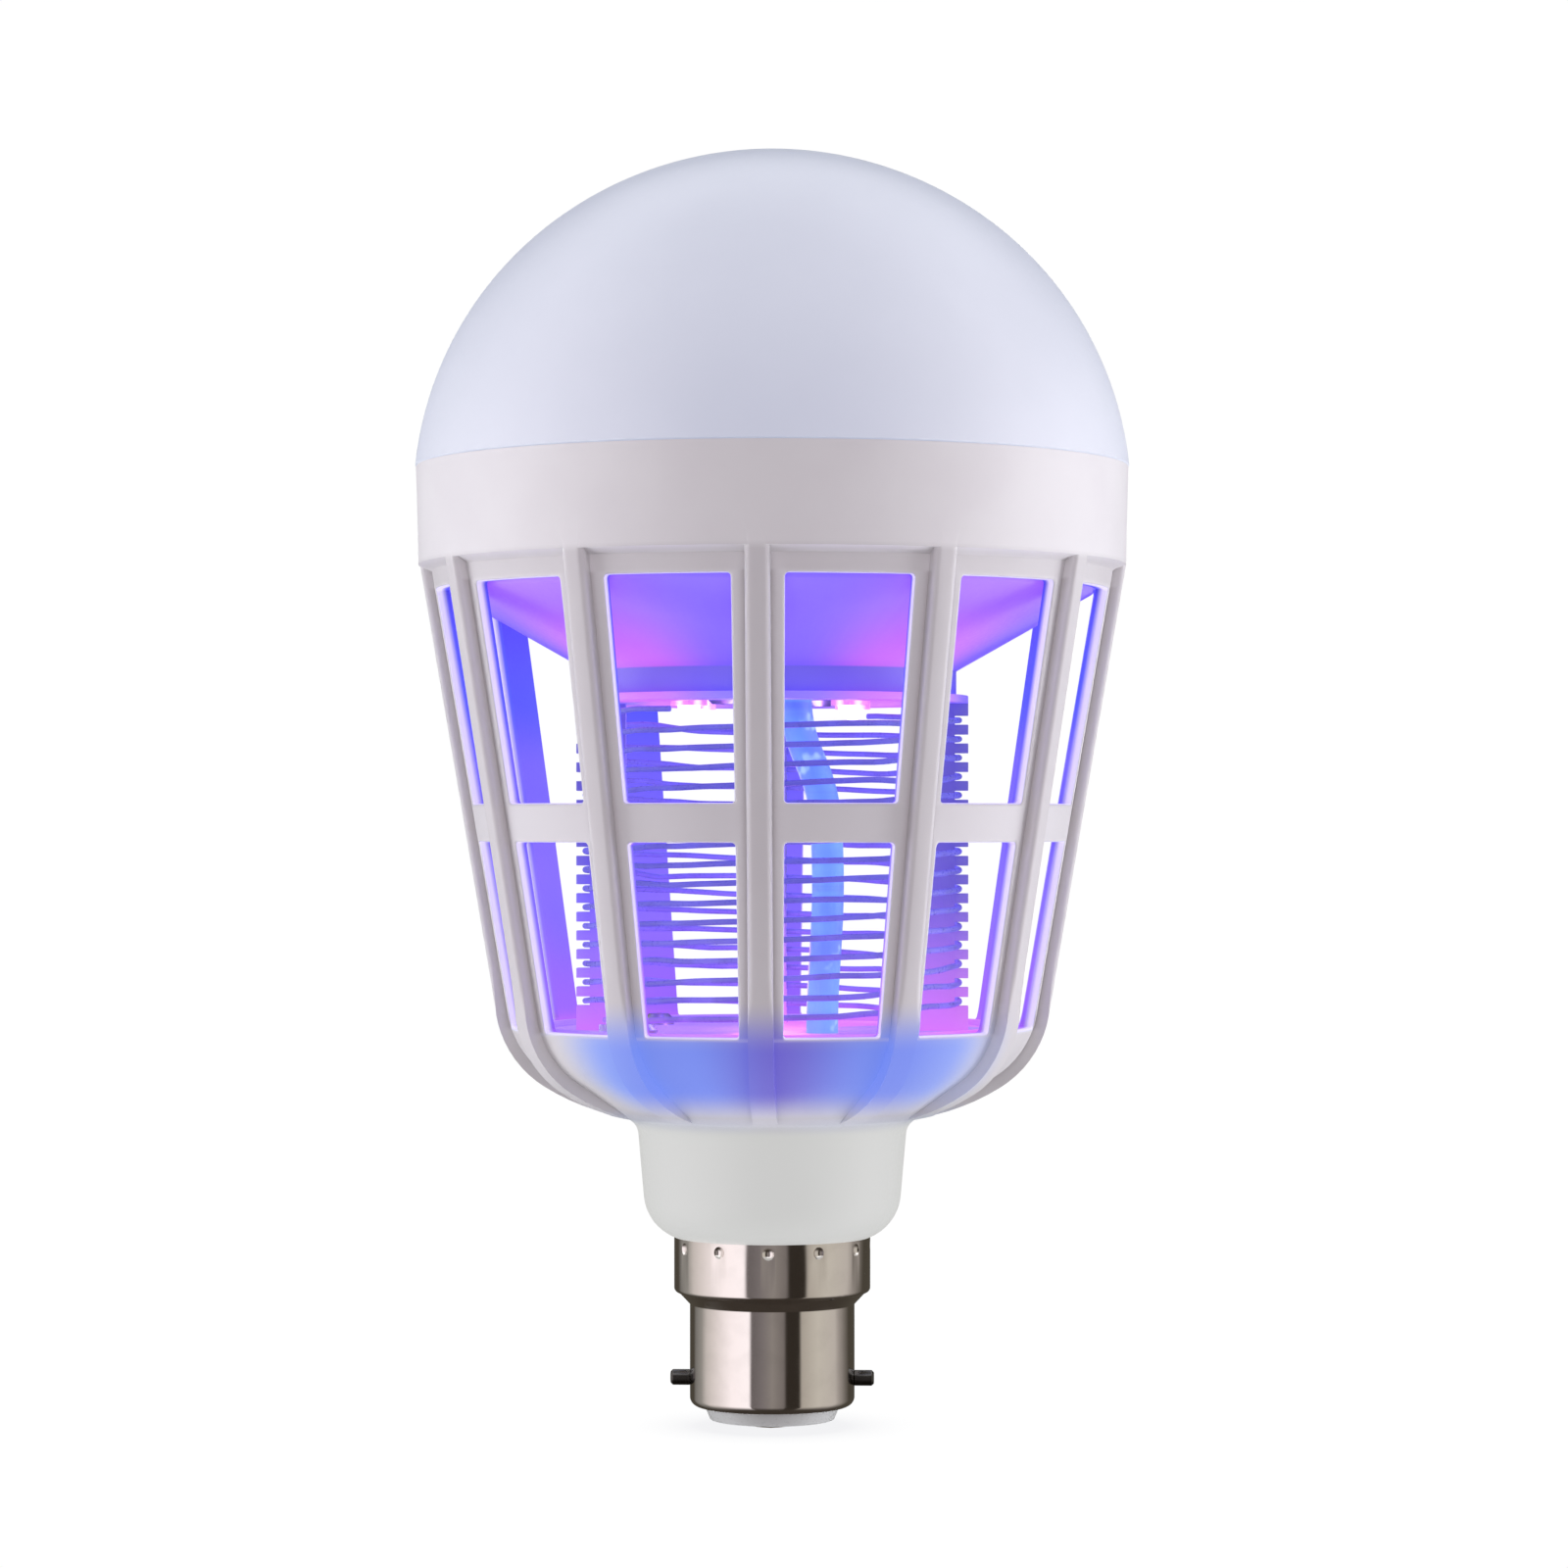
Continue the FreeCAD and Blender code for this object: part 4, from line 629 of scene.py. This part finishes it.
def sleeve_glow(g):
    """Painted bright blue light on the sleeve of the leads, with darker bands of painted shade and a few
    painted glints.
    """
    color = g.mix(g.step(g.noise(0.10, 2.0), 0.35, 0.65), rgb(58, 108, 226), rgb(84, 150, 236))
    along = g.add("CombineXYZ", {2: g.math("MULTIPLY", g.height(), 0.33)}).outputs[0]
    # Darker bands of painted shade along the sleeve
    bands = g.noise(1.0, 3.0, along)
    color = g.mix(g.step(bands, 0.52, 0.66, 0.0, 0.65), color, rgb(36, 56, 196))
    # Painted glints
    glints = g.step(g.noise(0.3, 2.0), 0.62, 0.72)
    return g.mix(g.math("MULTIPLY", glints, 0.7), color, rgb(176, 214, 250))


def lamp_white(g):
    """White at the middle of each lure lamp, pink at its rim."""
    x, y = g.add("SeparateXYZ", {0: g.place()}).outputs[:2]
    across = g.math("SUBTRACT", g.math("ABSOLUTE", x), LAMP_PLACE)
    along = g.math("SUBTRACT", g.math("ABSOLUTE", y), LAMP_PLACE)
    core = g.mix(g.noise(0.8, 1.0), (1.0, 0.92, 1.0), (1.0, 1.0, 0.93))
    return g.mix(g.step(g.length(across, along), 1.35, 1.95), core, rgb(150, 52, 150))


def post_glow(g):
    """Painted light on the uprights: pink at the foot, violet on the left and dim at the top."""
    share = height_share(g)
    pink = g.ramp(share, [
        (0.0, rgb(210, 98, 208)),
        (0.12, rgb(168, 92, 200)),
        (0.22, rgb(118, 76, 186)),
        (0.32, rgb(68, 52, 160)),
        (0.46, rgb(44, 38, 140)),
        (0.75, rgb(42, 36, 150)),
    ], "LINEAR")
    violet = g.ramp(share, [
        (0.0, rgb(196, 92, 232)),
        (0.14, rgb(140, 92, 242)),
        (0.30, rgb(92, 70, 222)),
        (0.44, rgb(46, 38, 158)),
    ], "LINEAR")
    return g.mix(g.step(g.turn(), -30.0, 30.0), violet, pink)


def ring_glow(g):
    """Painted pink light beside each lure lamp on the ring that ties the posts, violet between them."""
    return g.mix(near_lamps(g), VIOLET_LIGHT, PINK_LIGHT)


def base_glow(g):
    """Painted pink light on the floor of the cage, violet on the left."""
    pink = g.mix(g.step(g.turn(), -50.0, 10.0), rgb(146, 100, 238), rgb(206, 92, 220))
    return g.mix(g.step(g.noise(0.05, 2.0), 0.4, 0.6), pink, rgb(140, 96, 240))


def dome_material():
    """Milky plastic with a faint cool light painted in as a glow."""
    material, g = new_graph("milky_diffuser")
    soft = g.noise(0.05, 3.0)
    milk = g.mix(g.step(soft, 0.3, 0.7), (0.70, 0.695, 0.68), (0.725, 0.72, 0.705))
    inputs = {
        "Base Color": milk,
        "Roughness": g.line(g.noise(1.4, 3.0), 0.3, 0.7, 0.30, 0.40),
        "Normal": g.bump(g.noise(3.0, 2.0), 0.15, 0.02),
        # Painted faint cool glow on the dome
        "Emission Color": (0.10, 0.14, 0.235),
        "Emission Strength": 1.0,
    }
    g.finish(principled(g, inputs))
    return material


MATERIALS = {
    "nickel_cap": metal("nickel_cap", (0.80, 0.765, 0.74), 0.06, dirt=0.05, scratch=0.2),
    "nickel_pins": metal("nickel_pins", (0.09, 0.086, 0.084), 0.22),
    "insulator": moulded("insulator", rgb(186, 188, 185), 0.3),
    "contact_brass": metal("contact_brass", (0.70, 0.52, 0.28), 0.3),
    "solder": metal("solder", (0.62, 0.62, 0.62), 0.32),
    "white_housing": housing_material(),
    # The glowing finishes below take dim base colours, a painted shade, and the lure lamp's light
    # painted in as a glow; only the uv_lamp finish is a lamp itself
    "former_plastic": glowing("former_plastic", (0.3, 0.3, 0.4), post_glow, 0.9),
    "screw_steel": metal("screw_steel", (0.56, 0.56, 0.57), 0.3),
    "grid_wire": glowing("grid_wire", (0.2, 0.2, 0.35), wire_glow, 0.85, 0.3),
    "white_reflector": glowing("white_reflector", (0.25, 0.2, 0.35), funnel_glow, 0.9),
    "uv_board_white": glowing("uv_board_white", (0.3, 0.2, 0.5), funnel_glow, 0.9),
    "uv_lamp": glowing("uv_lamp", (0.8, 0.7, 0.8), lamp_white, 2.0),
    "heat_sink": metal("heat_sink", (0.74, 0.75, 0.76), 0.35),
    "lamp_board": moulded("lamp_board", (0.82, 0.83, 0.84), 0.35),
    "white_lamp": moulded("white_lamp", (0.9, 0.78, 0.35), 0.4),
    "milky_diffuser": dome_material(),
    "sleeve": glowing("sleeve", (0.3, 0.4, 0.6), sleeve_glow, 0.95),
    "lead_red": moulded("lead_red", (0.45, 0.04, 0.03), 0.45),
    "lead_brown": moulded("lead_brown", (0.16, 0.07, 0.04), 0.45),
    "lead_white": moulded("lead_white", (0.8, 0.8, 0.78), 0.45),
    "board_green": moulded("board_green", (0.03, 0.16, 0.06), 0.35, mottle=0.1),
    "capacitor_can": moulded("capacitor_can", (0.02, 0.03, 0.07), 0.3, mottle=0.1),
    "film_box": moulded("film_box", (0.45, 0.05, 0.03), 0.3, mottle=0.08),
    "inductor": moulded("inductor", (0.06, 0.05, 0.05), 0.5, mottle=0.15),
    "chip_black": moulded("chip_black", (0.02, 0.02, 0.022), 0.4, mottle=0.1),
    "resistor_black": moulded("resistor_black", (0.025, 0.025, 0.03), 0.25, mottle=0.1),
    "fuse_body": moulded("fuse_body", (0.12, 0.25, 0.14), 0.3, mottle=0.1),
    "diode_black": moulded("diode_black", (0.02, 0.02, 0.025), 0.3, mottle=0.1),
    "disc_blue": moulded("disc_blue", (0.02, 0.08, 0.35), 0.28, mottle=0.1),
}
slot_of = {entry["node"]: entry["material_slot"] for entry in frame["record"]["subparts"]}
for node, cad in NODES.items():
    cad.data.materials.clear()
    cad.data.materials.append(MATERIALS[slot_of[node]])


def make_housing():
    """The one moulding of neck, bowl, ribs, windows and collar."""
    mesh = rounded_housing()
    piece = as_piece("cage_housing", "housing_shell", mesh, MATERIALS["white_housing"])


def arc(centre, radius, first, last, count):
    """Points along an arc, by angles measured up from level."""
    points = []
    for i in range(count + 1):
        a = first + (last - first) * i / count
        points.append((centre[0] + radius * math.cos(a), centre[1] + radius * math.sin(a)))
    return points


def dome_outline(inset, start_height):
    """The side's arc and the crown's arc, a given depth below the outside of the dome."""
    meet = math.pi / 2 - CROWN_ANGLE
    side = SIDE_RADIUS - inset
    start = math.asin((start_height - SIDE_CENTRE[1]) / side)
    points = arc(SIDE_CENTRE, side, start, meet, 44)
    crown = arc(CROWN_CENTRE, CROWN_RADIUS - inset, meet, math.pi / 2, 30)
    points += crown[1:-1]
    points.append((0.0, CROWN_CENTRE[1] + CROWN_RADIUS - inset))
    return points


def make_dome():
    """A hollow dome with an eased edge and a step inside it."""
    outside = dome_outline(0.0, DOME_EDGE + DOME_EASE)
    inside = dome_outline(DOME_WALL, DOME_STEP_TOP)
    profile = [(DOME_STEP_RADIUS, DOME_EDGE), (outside[0][0] - DOME_EASE, DOME_EDGE)]
    profile += outside + inside[::-1]
    profile.append((DOME_STEP_RADIUS, DOME_STEP_TOP))
    mesh = lathe(profile, DOME_COUNT)
    piece = as_piece("diffuser_dome", "dome_shell", mesh, MATERIALS["milky_diffuser"], 50.0)


def make_wire(node, name, start):
    """A sprung wire that sags a little between the posts."""
    points = []
    turns = int((WIRE_END - WIRE_START) / WIRE_PITCH * RUNS_PER_TURN) / RUNS_PER_TURN
    count = int(turns * POINTS_PER_TURN)
    for i in range(count + 1):
        turned = turns * i / count
        a = math.radians(start) + 2 * math.pi * turned
        free = math.sin(2 * a) ** 2
        wave = noise.noise(Vector((a * WAVE_RATE, start, 0.0)))
        kink = noise.noise(Vector((a * KINK_RATE, start, 5.0)))
        height = WIRE_START + WIRE_PITCH * turned + free * (WAVE_HEIGHT * wave + KINK_HEIGHT * kink)
        height = min(max(height, WIRE_START - WIRE_PLAY), WIRE_END + WIRE_PLAY)
        ring = WIRE_RING - free * (WIRE_BOW + BOW_CHANGE * kink)
        points.append(Vector((ring * math.cos(a), ring * math.sin(a), height)) * MM)
    piece = as_piece(node, name, tube(points, WIRE_RADIUS * MM), MATERIALS["grid_wire"], 60.0)


# Pieces that keep their CAD shape, with their new names and the width of their eased edges
EASED = {
    "cap_shell": ("cap_metal", 0.08),
    "cap_insulator": ("contact_button", 0.15),
    "bayonet_pins": ("cap_pins", 0.08),
    "reflector_funnel": ("cage_ceiling", 0.2),
    "comb_posts": ("comb_uprights", 0.06),
    "grid_base": ("cage_floor", 0.12),
    "post_ring": ("upright_ring", 0.08),
    "uv_leds": ("lure_lamps", 0.05),
    "lead_sleeve": ("lead_tube", 0.1),
}

# Finishes with the lure lamp's light painted in as a glow, on one piece only
LIT = {
    "post_ring": glowing("lit_ring", (0.3, 0.3, 0.4), ring_glow, 1.0),
    "grid_base": glowing("lit_base", (0.3, 0.3, 0.4), base_glow, 1.0),
}


def make_eased():
    """Puts an eased piece in the place of each node that keeps its shape."""
    for node, (name, width) in EASED.items():
        slot = slot_of[node]
        piece = as_piece(node, name, eased_copy(node, width), LIT.get(node, MATERIALS[slot]))


def make_backdrop():
    """A white floor that curves up into a white wall, with a painted soft shadow round the bulb's foot.
    """
    mesh = bmesh.new()
    line = [(FLOOR_FRONT, 0.0), (BEND_START, 0.0)]
    for i in range(1, BEND_COUNT + 1):
        a = math.pi / 2 * i / BEND_COUNT
        line.append((BEND_START + BEND_RADIUS * math.sin(a), BEND_RADIUS - BEND_RADIUS * math.cos(a)))
    line.append((BEND_START + BEND_RADIUS, WALL_TOP))
    sides = (-FLOOR_HALF_WIDTH, FLOOR_HALF_WIDTH)
    rows = [[mesh.verts.new((x, y, z - FLOOR_DROP)) for x in sides] for y, z in line]
    for near, far in zip(rows, rows[1:]):
        mesh.faces.new((near[0], near[1], far[1], far[0]))
    data = bpy.data.meshes.new("backdrop")
    for face in mesh.faces:
        face.smooth = True
    mesh.to_mesh(data)
    mesh.free()
    floor = bpy.data.objects.new("backdrop", data)
    bpy.context.scene.collection.objects.link(floor)
    paper, g = new_graph("backdrop_paper")
    # Painted contact shadow: the glowing floor goes grey where the bulb is close
    close = g.add("AmbientOcclusion", {"Distance": 14 * MM}, samples=8).outputs["AO"]
    white = g.mix(g.step(g.noise(0.01, 2.0), 0.2, 0.8), (0.985, 0.985, 0.985), (1.0, 1.0, 1.0))
    shaded = g.mix(g.step(close, 0.35, 1.0), rgb(240, 240, 242), white)
    g.finish(g.add("Emission", {"Color": shaded, "Strength": PAPER_LIGHT}).outputs[0])
    data.materials.append(paper)
    floor.visible_diffuse = False
    floor.visible_glossy = False
    floor.visible_transmission = False
    floor.visible_shadow = False


def make_world():
    """Soft studio light: one weak box at the front, bright sides, and strips for the metal."""
    world = bpy.data.worlds.new("studio")
    bpy.context.scene.world = world
    world.use_nodes = True
    g = Graph(world.node_tree)
    away = g.add("TexCoord").outputs["Generated"]
    x, y, z = g.add("SeparateXYZ", {0: away}).outputs
    sine = math.sin(math.radians(CAMERA_TURN))
    cosine = math.cos(math.radians(CAMERA_TURN))
    ahead = g.math("SUBTRACT", g.math("MULTIPLY", x, sine), g.math("MULTIPLY", y, cosine))
    across = g.math("ADD", g.math("MULTIPLY", x, cosine), g.math("MULTIPLY", y, sine))
    box = g.math("MULTIPLY", g.step(ahead, 0.60, 0.88), FRONT_LIGHT)
    ring = g.math("MULTIPLY", g.step(ahead, -0.65, -0.35), g.step(ahead, 0.16, -0.06))
    level = g.ramp(g.line(z, -1.0, 1.0), [
        (0.0, (0.46, 0.46, 0.48)),
        (0.3, (0.90, 0.89, 0.95)),
        (0.5, (1.0, 0.985, 1.06)),
        (0.72, (0.42, 0.415, 0.44)),
        (1.0, (0.07, 0.07, 0.075)),
    ], "LINEAR")
    left = (SIDE_LIGHT * LEFT_SHARE,) * 3
    right = (SIDE_LIGHT * RIGHT_SHARE,) * 3
    sides = g.mix(g.line(across, -0.6, 0.6), left, right)
    soft = g.mix(ring, (0.13, 0.128, 0.132), g.mix(1.0, level, sides, "MULTIPLY"))
    soft = g.mix(1.0, soft, g.mix(box, (0.0, 0.0, 0.0), (1.0, 0.925, 1.0)), "ADD")
    around = g.math("MULTIPLY", g.math("ARCTAN2", across, ahead), 180 / math.pi)
    stripes = g.ramp(g.line(around, -180.0, 180.0), [
        (0.000, (0.075, 0.065, 0.05)),
        (0.100, (0.075, 0.065, 0.05)),
        (0.122, (0.21, 0.20, 0.185)),
        (0.172, (0.34, 0.325, 0.30)),
        (0.205, (0.66, 0.61, 0.58)),
        (0.250, (0.84, 0.77, 0.75)),
        (0.335, (1.22, 1.12, 1.14)),
        (0.408, (1.26, 1.17, 1.20)),
        (0.418, (0.16, 0.14, 0.14)),
        (0.460, (0.22, 0.195, 0.195)),
        (0.500, (0.30, 0.27, 0.25)),
        (0.545, (0.21, 0.185, 0.175)),
        (0.556, (0.035, 0.028, 0.022)),
        (0.608, (0.035, 0.028, 0.022)),
        (0.618, (0.48, 0.44, 0.385)),
        (0.690, (0.64, 0.60, 0.53)),
        (0.776, (0.58, 0.535, 0.49)),
        (0.800, (0.40, 0.365, 0.335)),
        (0.845, (0.19, 0.17, 0.15)),
        (0.878, (0.075, 0.065, 0.05)),
        (1.000, (0.075, 0.065, 0.05)),
    ], "LINEAR")
    stripes = g.mix(g.step(z, -0.9, -0.3), (0.05, 0.04, 0.032), stripes)
    stripes = g.mix(g.step(z, 0.45, 0.85), stripes, (1.9, 1.9, 1.9))
    glossy = g.add("LightPath").outputs["Is Glossy Ray"]
    diffuse = g.add("Background", {"Color": soft, "Strength": 1.0}).outputs[0]
    shiny = g.add("Background", {"Color": stripes, "Strength": 1.0}).outputs[0]
    both = g.add("MixShader", {0: glossy, 1: diffuse, 2: shiny}).outputs[0]
    camera = g.add("LightPath").outputs["Is Camera Ray"]
    white = g.add("Background", {"Color": (1.0, 1.0, 1.0), "Strength": PAPER_LIGHT}).outputs[0]
    out = g.add("OutputWorld")
    g.tree.links.new(g.add("MixShader", {0: camera, 1: both, 2: white}).outputs[0], out.inputs[0])
    world.cycles.sampling_method = "NONE"


def lamp(name, place, color, power, radius):
    """A small round light, placed in millimetres, of some power in watts."""
    data = bpy.data.lights.new(name, "POINT")
    data.color = color
    data.energy = power
    data.shadow_soft_size = radius * MM
    light = bpy.data.objects.new(name, data)
    light.location = Vector(place) * MM
    bpy.context.scene.collection.objects.link(light)


def make_camera():
    """A level camera that sees the bulb as the photograph does."""
    data = bpy.data.cameras.new("camera")
    data.lens = LENS
    data.sensor_width = 36.0
    data.shift_x = SHIFT_X
    data.shift_y = SHIFT_Y
    data.clip_start = 0.01
    data.clip_end = 20.0
    camera = bpy.data.objects.new("camera", data)
    turn = math.radians(CAMERA_TURN)
    beside = math.sin(turn) * CAMERA_DISTANCE
    before = math.cos(turn) * CAMERA_DISTANCE
    camera.location = Vector((beside, -before, CAMERA_HEIGHT)) * MM
    camera.rotation_euler = (math.pi / 2, 0.0, turn)
    bpy.context.scene.collection.objects.link(camera)
    bpy.context.scene.camera = camera


make_housing()
make_dome()
make_wire("grid_wire_live", "live_wire", WIRE_TURN)
make_wire("grid_wire_return", "return_wire", WIRE_TURN + 180)
make_eased()
make_backdrop()
make_world()
lamp("violet_light", place=(0, 4, 84), color=(0.45, 0.35, 1.0), power=0.01, radius=8)
lamp("pink_light", place=(0, 4, 60), color=(0.9, 0.3, 1.0), power=0.007, radius=6)
make_camera()

view = bpy.context.scene.view_settings
view.view_transform = "Standard"
view.look = "None"
view.exposure = 0.0
view.gamma = 1.0
